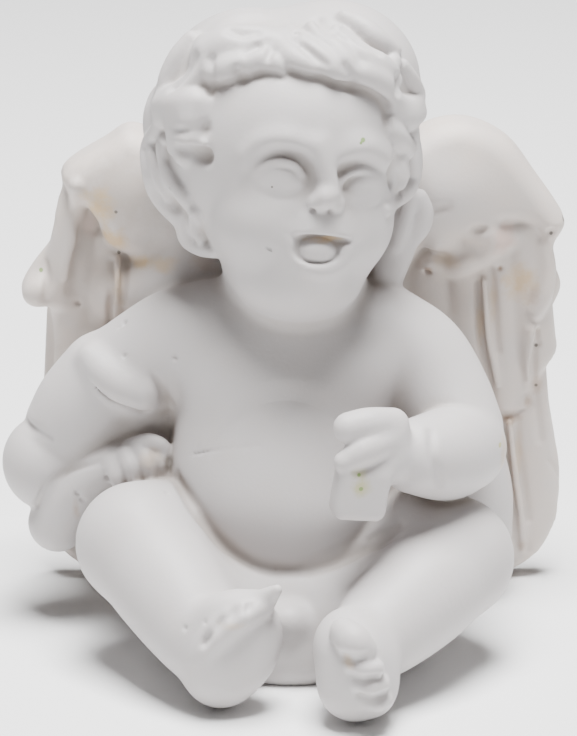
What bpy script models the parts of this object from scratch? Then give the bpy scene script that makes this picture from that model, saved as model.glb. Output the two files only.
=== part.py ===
"""A seated cherub with open wings, a small figurine cast in one piece.

The figure faces -Y, its left hand side is +X and it stands on its flat underside at z = 0.
Places and radii are in parts of the height, 61 parts from the underside to the top of the hair,
so the whole figure follows HEIGHT. The body is worked like clay: round forms are laid over one
another, fused by a voxel remesh and smoothed, the carving is added and fused again more finely,
and the finished skin is thinned to facets and cut flat underneath.
"""
import math

import bmesh
import bpy
import numpy as np
from mathutils import Euler, Matrix, Vector

# Driving dimensions, in metres
HEIGHT = 0.061
BODY_GRAIN = 0.00050
CARVING_GRAIN = 0.00036
TRIANGLES = 9200

PARTS_IN_HEIGHT = 61.0
PART = HEIGHT / PARTS_IN_HEIGHT
UNDERSIDE_Z = 0.0

# Colour of the cast resin
RESIN_COLOUR = (0.76, 0.72, 0.70, 1.0)
RESIN_ROUGHNESS = 0.55

# The head has its own frame: it looks up, leans and turns towards its left
HEAD_AT = (0.5, 0.2, 46.4)
HEAD_TURN = (-10.0, 8.0, 16.0)
HAIR_CENTRE = np.array((-0.3, 1.6, 2.2))
HAIR_RADII = np.array((11.9, 12.3, 11.7))

# Limbs: rows are x, y, z, radius along the middle line
RIGHT_ARM_FOLDS = (
    [(-7.4, 1.8, 28.9, 5.5), (-10.4, 2.1, 27.9, 5.5), (-14.4, 2.6, 25.3, 5.3)],
    [(-17.6, 3.0, 24.0, 4.8), (-19.4, 3.2, 21.6, 5.1), (-20.4, 3.3, 20.0, 4.8)],
)
RIGHT_FOREARM = [(-22.2, 3.0, 13.8, 3.5), (-19.8, 1.4, 14.6, 2.8), (-16.8, -0.6, 16.2, 2.3)]
LEFT_UPPER_ARM = [(9.0, 1.8, 28.6, 5.5), (12.9, 1.0, 26.8, 5.1), (15.6, -0.8, 23.8, 4.8),
                  (17.2, -2.6, 21.2, 4.6)]
LEFT_FOREARM = [(17.6, -4.6, 20.0, 4.5), (15.2, -8.0, 20.6, 4.4), (12.2, -11.0, 21.5, 3.5)]
RIGHT_THIGH = [(-4.4, -2.5, 6.4, 6.8), (-9.6, -5.0, 9.8, 7.0), (-14.0, -8.0, 11.9, 5.6)]
RIGHT_SHIN = [(-13.8, -8.4, 11.8, 5.5), (-10.6, -13.2, 9.2, 5.3), (-7.7, -17.6, 6.6, 4.5),
              (-6.4, -19.6, 5.2, 3.4)]
LEFT_THIGH = [(5.0, -2.5, 6.2, 6.6), (10.6, -4.6, 9.0, 7.0), (15.8, -7.6, 10.2, 5.6)]
LEFT_SHIN = [(15.6, -8.0, 9.9, 5.5), (12.4, -13.2, 8.6, 5.3), (8.9, -17.6, 6.9, 4.4), (6.8, -20.0, 6.2, 3.5)]
NECK = [(0.6, 2.0, 30.0, 7.2), (1.0, 1.0, 37.0, 6.6)]

# Toes from the big one down: x, y, z, radius
RIGHT_TOES = ((-1.9, -21.4, 12.0, 1.2), (-3.7, -21.8, 11.2, 0.95), (-5.4, -21.9, 10.4, 0.9),
              (-7.0, -21.8, 9.5, 0.85), (-8.4, -21.5, 8.4, 0.8))
LEFT_TOES = ((6.7, -25.5, 8.4, 1.6), (7.6, -26.1, 6.2, 1.2), (7.9, -26.2, 4.5, 1.1),
             (7.8, -26.0, 3.0, 1.05), (7.3, -25.4, 1.8, 1.0))
RIGHT_KNUCKLES = ((-17.0, 16.4), (-15.6, 17.1), (-14.2, 17.5), (-12.9, 17.8))

# Wing outlines seen from the front: x, z
LEFT_WING_OUTLINE = [(6, 44), (11, 45.8), (14.5, 47.6), (17.8, 47.8), (21.4, 46.0), (24.2, 42.4),
                     (26.5, 39.2), (27.2, 37.4), (25.6, 35.4), (26.4, 33), (27.2, 30.6), (26.1, 27.6),
                     (25.8, 24), (26.2, 19.6), (27.0, 15), (27.6, 11.4), (27.5, 7.4), (26.2, 3.3), (22.8, 0.6),
                     (17, -0.6), (9, -0.6), (4, 2), (2, 30)]
RIGHT_WING_OUTLINE = [(-6, 44), (-11, 45.6), (-14.8, 47.2), (-17.4, 45.8), (-21.5, 43.0), (-21.3, 40),
                      (-21.7, 37.6), (-23.2, 35.2), (-25.0, 32.8), (-26.0, 30.8), (-25.2, 29.6), (-23.2, 28.4),
                      (-22.9, 22), (-23.4, 14), (-24.4, 7), (-22.8, 3.0), (-18.6, 0.2),
                      (-14, -0.6), (-8, -0.6), (-4, 2), (-2, 30)]
LEFT_DOME_EDGE = [(24.0, 37.4), (21.4, 38.0), (19.0, 36.6), (14.5, 36.2), (7, 36)]
RIGHT_DOME_EDGE = [(-20.6, 40.6), (-18.4, 38.6), (-17.2, 35.8), (-13.4, 34.0), (-9, 33.8), (-5, 36)]
DOME_FOOT_Z = 35.5

# Feathers: x and z at the root, x and z at the tip, half width, y of the middle
LEFT_FEATHERS = (
    (12.0, 30, 13.0, 3.6, 3.4, 12.0), (16.8, 28, 18.4, 1.8, 3.2, 11.9), (23.6, 24, 25.0, 3.6, 2.7, 12.2),
    (21.0, 26, 22.0, 1.8, 3.0, 11.9), (9.5, 35, 11.5, 20.0, 3.3, 10.8), (13.6, 35, 15.2, 18.4, 3.0, 11.0),
    (24.0, 34, 24.8, 22.4, 2.2, 11.6), (19.0, 35, 21.0, 17.9, 3.3, 10.6),
)
RIGHT_FEATHERS = (
    (12.0, 30, 12.6, 3.6, 3.2, 12.0), (15.6, 28, 16.6, 2.2, 3.0, 11.9), (21.0, 24, 22.0, 5.0, 2.2, 12.2),
    (18.8, 26, 19.6, 2.8, 2.6, 11.9), (9.5, 35, 11.0, 20.0, 3.3, 10.8), (13.4, 35, 14.6, 18.6, 3.0, 11.0),
    (20.6, 36, 20.4, 21.0, 2.2, 11.4), (16.8, 36, 17.6, 18.0, 2.6, 10.8),
)
BACK_FEATHERS = (
    (8.6, 30, 8.2, 2.6, 2.9, 14.3), (13.2, 30, 13.2, 1.6, 2.9, 13.8), (17.8, 30, 18.2, 2.2, 2.9, 14.3),
    (21.6, 28, 22.6, 4.4, 2.6, 13.8), (9.2, 40, 9.8, 17.6, 2.9, 15.2), (13.8, 41, 14.4, 16.6, 2.9, 14.7),
    (18.2, 40, 19.2, 17.6, 2.8, 15.2),
)
FEATHER_THICKNESS = 1.1

# Raised feather shafts: rows x, y, z, radius
LEFT_SHAFTS = (
    [(19.3, 9.4, 33.0, 0.5), (19.6, 9.3, 29.0, 0.6), (20.1, 9.5, 25.0, 0.6), (20.8, 9.9, 21.5, 0.4)],
    [(21.6, 10.9, 18.0, 0.5), (22.3, 10.8, 12.0, 0.6), (23.0, 10.9, 8.0, 0.5), (23.4, 11.2, 4.0, 0.4)],
)
RIGHT_SHAFTS = (
    [(-16.6, 9.6, 35.0, 0.5), (-16.6, 9.5, 32.0, 0.6), (-16.7, 9.6, 28.5, 0.6), (-17.0, 9.9, 24.0, 0.4)],
    [(-18.9, 10.9, 18.0, 0.5), (-19.2, 10.8, 12.0, 0.6), (-19.6, 11.0, 6.0, 0.5), (-19.8, 11.2, 4.0, 0.4)],
)

# Locks of hair on the head: azimuth (0 over the face, + towards the figure's left) and elevation
# in degrees along the lock, then the strand's radius and how many strands lie side by side
LOCKS = (
    ([(-20, 40), (-30, 36), (-40, 34), (-50, 31), (-58, 24)], 1.35, 2),
    ([(-18, 50), (-30, 48), (-44, 43), (-56, 37), (-68, 30)], 1.3, 2),
    ([(-30, 62), (-50, 56), (-66, 46), (-78, 34)], 1.25, 2),
    ([(-64, 36), (-74, 30), (-82, 21), (-88, 11), (-96, 4)], 1.5, 2),
    ([(-56, 20), (-66, 14), (-80, 9), (-94, -1)], 1.5, 2),
    ([(-56, 6), (-68, 3), (-82, 1), (-100, -4)], 1.0, 1),
    ([(-98, -2), (-106, -12), (-105, -22), (-102, -32), (-98, -42)], 1.35, 2),
    ([(-86, -8), (-92, -18), (-88, -29), (-84, -38), (-88, -46)], 1.2, 1),
    ([(-104, -42), (-98, -50), (-92, -56), (-84, -60)], 1.3, 2),
    ([(-66, -34), (-72, -44), (-80, -52), (-94, -58)], 1.2, 1),
    ([(-22, 38), (-14, 36), (-6, 32), (3, 29), (11, 26)], 1.35, 2),
    ([(-20, 48), (-10, 44), (0, 40), (12, 36), (24, 33), (32, 29)], 1.3, 2),
    ([(-6, 55), (10, 51), (22, 45), (36, 40), (46, 33)], 1.3, 2),
    ([(20, 62), (40, 58), (56, 50), (62, 40), (58, 30)], 1.4, 2),
    ([(18, 30), (28, 30), (36, 26), (40, 18), (36, 10)], 1.3, 2),
    ([(50, 34), (64, 28), (66, 18), (54, 10), (44, 4)], 1.5, 2),
    ([(38, 10), (46, 2), (56, -6), (56, -16), (48, -24), (42, -30)], 1.4, 2),
    ([(62, 8), (74, -2), (78, -14), (70, -26), (66, -38)], 1.5, 2),
    ([(88, 20), (94, 6), (88, -10), (96, -24), (90, -38)], 1.5, 2),
    ([(80, -36), (92, -44), (104, -52), (112, -58)], 1.7, 2),
)
# Rows of locks over the crown, back and nape: elevation, locks all the way round, length
LOCK_ROWS = ((58, 9, 26), (34, 12, 26), (10, 14, 26), (-14, 12, 24), (-36, 9, 20))
LOCK_ROW_SEED = 5
# The lock that hangs behind the left cheek, in the figure's own frame
NAPE_LOCK = [(12.0, 4.8, 43.4, 1.6), (12.6, 4.4, 40.6, 1.9), (11.6, 3.8, 37.4, 1.7),
             (10.0, 3.2, 34.8, 1.2)]


def clear_scene():
    for item in list(bpy.data.objects):
        bpy.data.objects.remove(item, do_unlink=True)


def new_collection(name):
    collection = bpy.data.collections.new(name)
    bpy.context.scene.collection.children.link(collection)
    return collection


def new_object(name, data, collection):
    item = bpy.data.objects.new(name, data)
    collection.objects.link(item)
    return item


def evaluated_mesh(item):
    """Mesh of an object with its modifiers applied, or of a curve, in world space."""
    bpy.context.view_layer.update()
    graph = bpy.context.evaluated_depsgraph_get()
    mesh = bpy.data.meshes.new_from_object(item.evaluated_get(graph), depsgraph=graph)
    mesh.transform(item.matrix_world)
    return mesh


def turn_matrix(degrees):
    """Rotation about X, then Y, then Z."""
    return Euler([math.radians(a) for a in degrees], "XYZ").to_matrix().to_4x4()


def smooth_rows(rows, per):
    """Points on a Catmull-Rom line through the rows, per points for each stretch."""
    known = np.asarray(rows, float)
    if len(known) == 2:
        share = np.linspace(0, 1, per + 1)[:, None]
        return known[0] * (1 - share) + known[1] * share
    padded = np.vstack([2 * known[0] - known[1], known, 2 * known[-1] - known[-2]])
    result = []
    for i in range(len(known) - 1):
        a, b, c, d = padded[i:i + 4]
        for t in np.linspace(0, 1, per, endpoint=False):
            result.append(0.5 * (2 * b + (c - a) * t + (2 * a - 5 * b + 4 * c - d) * t**2
                                 + (3 * b - a - 3 * c + d) * t**3))
    result.append(known[-1])
    return np.array(result)


def with_round_ends(rows, steps=3):
    """Rows of a tube with half a ball added at each end."""
    result = [tuple(row) for row in rows]
    for at_start in (True, False):
        end, inner = (rows[0], rows[1]) if at_start else (rows[-1], rows[-2])
        outward = Vector(end[:3]) - Vector(inner[:3])
        outward.normalize()
        for i in range(1, steps + 1):
            angle = math.radians(84) * i / steps
            place = Vector(end[:3]) + outward * end[3] * math.sin(angle)
            row = (*place, end[3] * math.cos(angle))
            if at_start:
                result.insert(0, row)
            else:
                result.append(row)
    return result


class Clay:
    """Closed forms that overlap, gathered in one mesh until a voxel remesh fuses them."""

    def __init__(self, scratch):
        self.bm = bmesh.new()
        self.scratch = scratch
        self.frame = Matrix.Identity(4)

    def add_mesh(self, mesh):
        self.bm.from_mesh(mesh)
        bpy.data.meshes.remove(mesh)

    def ball_matrix(self, centre, radii, turn):
        move = Matrix.Translation(Vector(centre))
        scale = Matrix.Diagonal((*radii, 1.0))
        return Matrix.Scale(PART, 4) @ self.frame @ move @ turn_matrix(turn) @ scale

    def ball(self, centre, radii, turn=(0, 0, 0)):
        """Ellipsoid."""
        matrix = self.ball_matrix(centre, radii, turn)
        bmesh.ops.create_uvsphere(self.bm, u_segments=28, v_segments=16, radius=1.0, matrix=matrix)

    def block(self, centre, half, turn=(0, 0, 0)):
        """Box; the remesh and the smoothing round its edges."""
        matrix = self.ball_matrix(centre, half, turn)
        bmesh.ops.create_cube(self.bm, size=2.0, matrix=matrix)

    def limb(self, rows, per=6, sides=3):
        """Tube of changing radius with round ends."""
        full = with_round_ends([tuple(row) for row in smooth_rows(rows, per)])
        curve = bpy.data.curves.new("limb", "CURVE")
        curve.dimensions = "3D"
        curve.bevel_depth = PART
        curve.bevel_resolution = sides
        curve.use_fill_caps = True
        spline = curve.splines.new("POLY")
        spline.points.add(len(full) - 1)
        for point, row in zip(spline.points, full):
            place = self.frame @ Vector(row[:3])
            point.co = (*(place * PART), 1.0)
            point.radius = row[3]
        self.add_curve(curve)

    def sheet(self, outline, half_thickness, edge, y, bend=None):
        """Upright sheet with a rounded edge: outline of x and z points, middle at y."""
        curve = bpy.data.curves.new("sheet", "CURVE")
        curve.dimensions = "2D"
        curve.fill_mode = "BOTH"
        curve.extrude = (half_thickness - edge) * PART
        curve.bevel_depth = edge * PART
        curve.bevel_resolution = 2
        curve.offset = -edge * PART
        curve.resolution_u = 4
        spline = curve.splines.new("BEZIER")
        spline.bezier_points.add(len(outline) - 1)
        spline.use_cyclic_u = True
        for point, (x, z) in zip(spline.bezier_points, outline):
            point.co = (x * PART, z * PART, 0.0)
            point.handle_left_type = "AUTO"
            point.handle_right_type = "AUTO"
        stand = Matrix.Translation((0, y * PART, 0)) @ Matrix.Rotation(math.radians(90), 4, "X")
        self.add_curve(curve, stand, bend)

    def add_curve(self, curve, matrix=None, bend=None):
        item = new_object("form", curve, self.scratch)
        if matrix is not None:
            item.matrix_world = matrix
        mesh = evaluated_mesh(item)
        bpy.data.objects.remove(item, do_unlink=True)
        bpy.data.curves.remove(curve)
        work = bmesh.new()
        work.from_mesh(mesh)
        bmesh.ops.remove_doubles(work, verts=work.verts, dist=PART * 0.002)
        if bend is not None:
            for vert in work.verts:
                vert.co.y += bend(vert.co.x / PART, vert.co.z / PART) * PART
        bmesh.ops.recalc_face_normals(work, faces=work.faces)
        work.to_mesh(mesh)
        work.free()
        self.add_mesh(mesh)

    def carved(self, form, cuts):
        """One form with others cut from it; each is a kind, a centre, radii and a turn."""
        item = self.single(form)
        cutters = [self.single(cut) for cut in cuts]
        for cutter in cutters:
            boolean = item.modifiers.new("cut", "BOOLEAN")
            boolean.operation = "DIFFERENCE"
            boolean.solver = "EXACT"
            boolean.object = cutter
        mesh = evaluated_mesh(item)
        for used in (item, *cutters):
            bpy.data.objects.remove(used, do_unlink=True)
        self.add_mesh(mesh)

    def single(self, form):
        kind, centre, radii, turn = form
        lone = Clay(self.scratch)
        lone.frame = self.frame
        if kind == "ball":
            lone.ball(centre, radii, turn)
        else:
            lone.block(centre, radii, turn)
        return lone.to_object("form", self.scratch)

    def to_object(self, name, collection):
        mesh = bpy.data.meshes.new(name)
        self.bm.to_mesh(mesh)
        self.bm.free()
        return new_object(name, mesh, collection)


def fuse(item, grain, factor, repeats):
    """Voxel remesh that joins the overlapping forms, then a smoothing."""
    remesh = item.modifiers.new("fuse", "REMESH")
    remesh.mode = "VOXEL"
    remesh.voxel_size = grain
    remesh.adaptivity = 0.0
    smooth = item.modifiers.new("soften", "SMOOTH")
    smooth.factor = factor
    smooth.iterations = repeats


def torso(clay):
    clay.ball((0.4, 2.2, 26.3), (10.2, 8.0, 8.6))
    clay.ball((-0.2, -1.8, 15.4), (11.0, 10.2, 10.2))
    clay.ball((0.5, 3.0, 7.6), (13.0, 9.6, 8.8))
    clay.ball((0.4, 5.0, 22.0), (9.8, 6.4, 12.0))
    clay.limb(NECK)


def legs(clay):
    for rows in (RIGHT_THIGH, RIGHT_SHIN, LEFT_THIGH, LEFT_SHIN):
        clay.limb(rows, 8, 5)
    clay.ball((-6.6, -8.6, 5.6), (7.2, 8.0, 6.2), (0, 14, 0))
    clay.ball((7.2, -8.6, 5.2), (7.4, 8.0, 6.2), (0, -12, 0))
    clay.ball((0.4, -9.2, 2.6), (7.9, 9.9, 5.4))


def foot_bodies(clay):
    sole = ("ball", (-4.8, -20.2, 6.3), (4.4, 3.4, 5.4), (0, 26, 10))
    flat = ("block", (-4.4, -25.2, 6.3), (8.0, 2.2, 9.0), (-6, 26, 10))
    clay.carved(sole, [flat])
    clay.ball((-6.0, -20.0, 3.4), (3.1, 2.6, 3.0))
    clay.ball((6.2, -22.2, 6.6), (3.7, 4.5, 4.7), (14, -22, 0))
    clay.ball((5.9, -23.8, 3.8), (3.0, 2.9, 3.5), (14, -22, 0))


def toes(clay):
    for x, y, z, radius in RIGHT_TOES:
        spread = 0.35 * (x + 5.0)
        clay.limb([(x - spread, y + 1.6, z - 1.9, radius * 1.15), (x, y, z - 0.3, radius * 1.05),
                   (x + 0.3 * spread, y - 0.6, z + 0.35, radius)], 3)
    for x, y, z, radius in LEFT_TOES:
        clay.limb([(x - 0.8, y + 2.4, z + 0.2, radius), (x, y, z, radius)], 3)


def arms(clay):
    for rows in RIGHT_ARM_FOLDS:
        clay.limb(rows, 6, 5)
    clay.ball((-22.6, 3.4, 16.6), (4.6, 4.4, 5.3), (0, -8, 0))
    clay.limb(RIGHT_FOREARM)
    clay.ball((-14.0, -1.2, 17.7), (3.2, 2.2, 2.1), (0, -24, 0))
    clay.limb(LEFT_UPPER_ARM, 6, 5)
    clay.limb(LEFT_FOREARM, 6, 5)
    clay.ball((9.4, -13.2, 22.4), (2.8, 2.4, 2.9), (0, 0, 30))


def fingers(clay):
    for x, z in RIGHT_KNUCKLES:
        clay.limb([(x, -1.6, z + 0.9, 0.9), (x + 0.5, -2.9, z + 0.2, 0.85),
                   (x + 0.9, -3.3, z - 1.0, 0.8)], 3)
    clay.limb([(-14.4, -1.0, 19.4, 0.9), (-12.8, -1.8, 19.7, 0.85), (-11.6, -2.5, 18.9, 0.75)], 3)
    # The left hand's fingers end in a flat broken face; the thumb lies over them
    clay.block((7.2, -14.8, 20.6), (2.2, 1.7, 2.8), (4, 14, 12))
    clay.limb([(9.6, -14.0, 23.4, 1.4), (7.4, -15.8, 22.8, 1.2), (5.4, -16.3, 21.8, 1.0)], 4)
    clay.limb([(9.4, -13.4, 25.0, 1.4), (7.2, -14.8, 25.5, 1.35), (5.6, -15.4, 25.4, 1.25)], 4)


def wing_bend(x, z):
    return 0.006 * (abs(x) - 14.0) ** 2 - 0.01 * (z - 20.0)


def wing_body(clay, side, outline, dome_edge):
    """Bone, sheet and the rounded cover feathers of one wing; side is +1 for the figure's left."""
    clay.limb([(side * 3.0, 8.0, 28.0, 3.4), (side * 8.0, 11.0, 35.0, 4.2),
               (side * 12.0, 12.2, 40.0, 4.2)], 6, 4)
    clay.sheet(outline, 1.6, 1.0, 12.9, wing_bend)
    dome = [point for point in outline if point[1] > DOME_FOOT_Z]
    if side < 0:
        dome = dome[:5]
    clay.sheet(dome + dome_edge, 2.2, 1.5, 11.7)
    clay.ball((side * 14.2, 11.6, 41.2), (7.6, 4.5, 5.6), (0, side * 6, 0))
    clay.ball((side * 7.0, 11.0, 20.0), (5.0, 3.2, 14.0))


def feather(clay, side, row):
    """Blade with nearly straight sides and a round tip."""
    root_x, root_z, tip_x, tip_z, half_width, y = row
    root = Vector((side * root_x, root_z))
    tip = Vector((side * tip_x, tip_z))
    along = tip - root
    across = Vector((-along.y, along.x)).normalized() * half_width
    down = along.normalized() * half_width
    shoulder = tip - down * 0.8
    outline = [root - across * 0.8, shoulder - across, tip - down * 0.2 - across * 0.72, tip,
               tip - down * 0.2 + across * 0.72, shoulder + across, root + across * 0.8]
    clay.sheet([tuple(point) for point in outline], FEATHER_THICKNESS, 0.6, y)


def feathers(clay):
    for row in LEFT_FEATHERS:
        feather(clay, 1, row)
    for x, z, tip_x, tip_z, half_width, y in RIGHT_FEATHERS:
        feather(clay, -1, (x, z, tip_x, tip_z, half_width, y))
    for side in (-1, 1):
        for row in BACK_FEATHERS:
            feather(clay, side, row)
    for rows in LEFT_SHAFTS + RIGHT_SHAFTS:
        clay.limb(rows, 4)
    # Short curled covers under the left dome, lobes on the right wing's broken edge
    clay.limb([(13.6, 9.4, 34.0, 1.7), (16.6, 8.9, 32.9, 1.7), (19.2, 8.8, 33.8, 1.6),
               (21.2, 9.0, 36.0, 1.3), (22.6, 10.2, 37.2, 1.2)], 4)
    clay.limb([(13.0, 9.6, 36.0, 1.8), (17.0, 9.4, 35.8, 1.9), (20.4, 9.8, 37.0, 1.6)], 4)
    clay.limb([(-21.2, 11.6, 38.0, 1.3), (-21.8, 11.6, 34.0, 1.5), (-22.0, 11.8, 30.0, 1.2)], 4)
    clay.ball((-24.3, 12.0, 31.2), (1.7, 1.8, 2.0))


def skull(clay):
    """Head, cheeks and chins under the hair, in the head's frame."""
    clay.ball((0, 1.0, 1.6), (10.4, 11.6, 10.8))
    clay.ball((0.5, -1.6, -5.2), (8.1, 8.7, 7.5))
    clay.ball((0.4, -3.8, -10.4), (5.9, 5.5, 3.9))
    for side in (-1, 1):
        clay.ball((0.3 + side * 3.8, -5.0, -4.8), (4.4, 4.7, 4.5))
    clay.ball((0.2, -7.2, -9.2), (2.9, 2.9, 2.6))
    clay.ball((0, -2.6, 3.2), (9.1, 8.8, 8.5))
    clay.ball((0.2, -9.4, -6.6), (3.2, 1.9, 2.4))
    clay.limb([(0, -9.8, 1.8, 0.9), (0, -11.0, -0.8, 1.0), (0, -12.0, -2.7, 1.3)])


def face_cuts():
    """Eye sockets and the open mouth: centre, radii, turn."""
    rows = []
    for side in (-1, 1):
        rows.append(((side * 3.5, -12.1, -0.4), (2.9, 1.9, 1.8), (0, side * 4, side * 14)))
    rows.append(((0.2, -11.8, -6.3), (2.3, 1.7, 0.75), (0, 0, 0)))
    rows.append(((0.2, -11.7, -6.9), (1.7, 1.6, 1.3), (0, 0, 0)))
    return rows


def face(clay):
    """Eyeballs under heavy lids, nose and lips, in the head's frame."""
    for side in (-1, 1):
        clay.ball((side * 3.5, -9.0, -0.6), (2.3, 1.9, 1.35), (0, side * 4, side * 15))
        clay.limb([(side * 1.5, -10.5, -0.6, 0.3), (side * 2.4, -11.0, 0.4, 0.45),
                   (side * 3.5, -11.0, 0.8, 0.5), (side * 4.8, -10.4, 0.5, 0.45),
                   (side * 5.8, -9.4, -0.4, 0.3)], 3)
        clay.ball((side * 1.4, -11.5, -3.4), (0.95, 1.0, 0.8))
    clay.ball((0, -12.5, -3.0), (1.4, 1.25, 1.15))
    clay.ball((0.2, -10.4, -7.2), (1.3, 1.1, 1.0))
    clay.limb([(-2.5, -10.3, -5.9, 0.4), (-1.0, -11.4, -5.4, 0.6), (0.2, -11.7, -5.6, 0.55),
               (1.4, -11.4, -5.4, 0.6), (2.9, -10.3, -5.9, 0.4)], 3)
    clay.limb([(-1.8, -10.5, -7.6, 0.4), (0.2, -11.2, -8.5, 0.55), (2.2, -10.5, -7.6, 0.4)], 4)


def hair_shell(clay):
    """Cap of hair with an opening for the face and the neck, in the head's frame."""
    shell = ("ball", tuple(HAIR_CENTRE), tuple(HAIR_RADII), (0, 0, 0))
    face_gap = ("ball", (0, -15.0, -4.2), (9.2, 11.8, 11.4), (0, 0, 0))
    nape = ("block", (0, -4.0, -14.5), (16.0, 14.0, 8.0), (0, 0, 0))
    clay.carved(shell, [face_gap, nape])
    clay.ball((3.4, 0.0, 8.4), (7.4, 8.6, 6.3))


def on_hair(azimuth, elevation, lift):
    """Point over the cap of hair."""
    a = math.radians(azimuth)
    e = math.radians(elevation)
    direction = np.array([math.sin(a) * math.cos(e), -math.cos(a) * math.cos(e), math.sin(e)])
    return HAIR_CENTRE + direction * (HAIR_RADII + lift)


def unit(vector):
    return vector / np.linalg.norm(vector)


def lock(clay, angles, radius, strands, spread=0.9, lift=0.1):
    """A few strands side by side along one line on the cap, thickest in the middle."""
    path = [on_hair(azimuth, elevation, lift) for azimuth, elevation in angles]
    last = len(path) - 1
    for strand in range(strands):
        offset = (strand - (strands - 1) / 2) * spread * radius
        rows = []
        for i, place in enumerate(path):
            swell = 0.5 + 0.55 * math.sin(math.pi * (0.15 + 0.75 * i / last))
            along = unit(path[min(i + 1, last)] - path[max(i - 1, 0)])
            outward = unit((place - HAIR_CENTRE) / HAIR_RADII**2)
            across = np.cross(along, outward)
            rise = 0.25 * radius * swell - 0.1 * abs(offset)
            point = place + across * offset * (0.5 + 0.5 * swell) + outward * rise
            rows.append((*point, radius * swell))
        clay.limb(rows, 3, 2)


def hair_locks(clay):
    for angles, radius, strands in LOCKS:
        lock(clay, angles, radius, strands)
    rng = np.random.default_rng(LOCK_ROW_SEED)
    for elevation, count, length in LOCK_ROWS:
        for k in range(count):
            azimuth = (360.0 * (k + 0.5 * rng.random()) / count + 180.0) % 360.0 - 180.0
            bend = rng.uniform(8, 16) * rng.choice((-1, 1))
            radius = rng.uniform(1.25, 1.55)
            clear_of_face = 62 if elevation >= 20 else 74
            if elevation < 0:
                clear_of_face = 105
            if abs(azimuth) < clear_of_face:
                continue
            widen = 1.0 / max(math.cos(math.radians(elevation - 8)), 0.35)
            angles = [(azimuth + bend * widen * math.sin(2.6 * t), elevation + 8 - length * t)
                      for t in np.linspace(0, 1, 5)]
            lock(clay, angles, radius, 2, 1.0, -0.25)


def head_frame():
    return Matrix.Translation(Vector(HEAD_AT)) @ turn_matrix(HEAD_TURN)


def body_mesh(scratch):
    """Large forms fused and softened, with the sockets and the mouth cut in."""
    clay = Clay(scratch)
    torso(clay)
    legs(clay)
    foot_bodies(clay)
    arms(clay)
    wing_body(clay, 1, LEFT_WING_OUTLINE, LEFT_DOME_EDGE)
    wing_body(clay, -1, RIGHT_WING_OUTLINE, RIGHT_DOME_EDGE)
    # The hollow behind the right arm is closed by the wing
    clay.ball((-15.5, 10.0, 19.0), (8.0, 3.0, 8.0))
    clay.frame = head_frame()
    skull(clay)
    body = clay.to_object("body", scratch)
    fuse(body, BODY_GRAIN, 0.5, 8)
    cutters = []
    for centre, radii, turn in face_cuts():
        cutter_clay = Clay(scratch)
        cutter_clay.frame = head_frame()
        cutter_clay.ball(centre, radii, turn)
        cutter = cutter_clay.to_object("face_cut", scratch)
        boolean = body.modifiers.new("face", "BOOLEAN")
        boolean.operation = "DIFFERENCE"
        boolean.solver = "EXACT"
        boolean.object = cutter
        cutters.append(cutter)
    mesh = evaluated_mesh(body)
    for used in (body, *cutters):
        bpy.data.objects.remove(used, do_unlink=True)
    return mesh


def carved_mesh(scratch):
    """The whole skin: the body with hair, face, fingers, toes and feathers fused on."""
    clay = Clay(scratch)
    clay.add_mesh(body_mesh(scratch))
    toes(clay)
    fingers(clay)
    feathers(clay)
    clay.limb(NAPE_LOCK, 4)
    clay.frame = head_frame()
    hair_shell(clay)
    hair_locks(clay)
    face(clay)
    skin = clay.to_object("skin", scratch)
    fuse(skin, CARVING_GRAIN, 0.5, 3)
    mesh = evaluated_mesh(skin)
    bpy.data.objects.remove(skin, do_unlink=True)
    return mesh


def triangle_count(mesh):
    return sum(len(polygon.vertices) - 2 for polygon in mesh.polygons)


def floor_cutter(cutters):
    """Slab under the figure that cuts its underside flat."""
    depth = 0.2 * HEIGHT
    bm = bmesh.new()
    middle = Matrix.Translation((0, 0, UNDERSIDE_Z - depth / 2))
    matrix = middle @ Matrix.Diagonal((2 * HEIGHT, 2 * HEIGHT, depth, 1))
    bmesh.ops.create_cube(bm, size=1.0, matrix=matrix)
    mesh = bpy.data.meshes.new("floor_cutter")
    bm.to_mesh(mesh)
    bm.free()
    cutter = new_object("floor_cutter", mesh, cutters)
    cutter.hide_render = True
    cutter.display_type = "WIRE"
    return cutter


def resin_material():
    material = bpy.data.materials.new("cast_resin")
    material.use_nodes = True
    shader = material.node_tree.nodes["Principled BSDF"]
    shader.inputs["Base Color"].default_value = RESIN_COLOUR
    shader.inputs["Roughness"].default_value = RESIN_ROUGHNESS
    shader.inputs["Metallic"].default_value = 0.0
    return material


def build():
    clear_scene()
    parts = new_collection("angel figurine")
    cutters = new_collection("cutters")
    mesh = carved_mesh(cutters)
    share = TRIANGLES / triangle_count(mesh)
    figure = new_object("angel_figurine", mesh, parts)
    figure.data.materials.append(resin_material())
    thin = figure.modifiers.new("facets", "DECIMATE")
    thin.decimate_type = "COLLAPSE"
    thin.ratio = share
    flat = figure.modifiers.new("underside", "BOOLEAN")
    flat.operation = "DIFFERENCE"
    flat.solver = "EXACT"
    flat.object = floor_cutter(cutters)
    figure.data.shade_smooth()


build()
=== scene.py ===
"""Looks of a cast cherub figurine: the skin is worked like clay and dressed in matte white resin.

The clay is a signed distance, in millimetres, worked out as whole arrays at the points of a lattice:
round forms are joined and cut with soft edges. The skin is the surface where that distance is zero.
The figure faces -Y and its left hand side is +X. Lengths in the tables are millimetres, angles degrees.
"""
import math
from concurrent.futures import ThreadPoolExecutor

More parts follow.
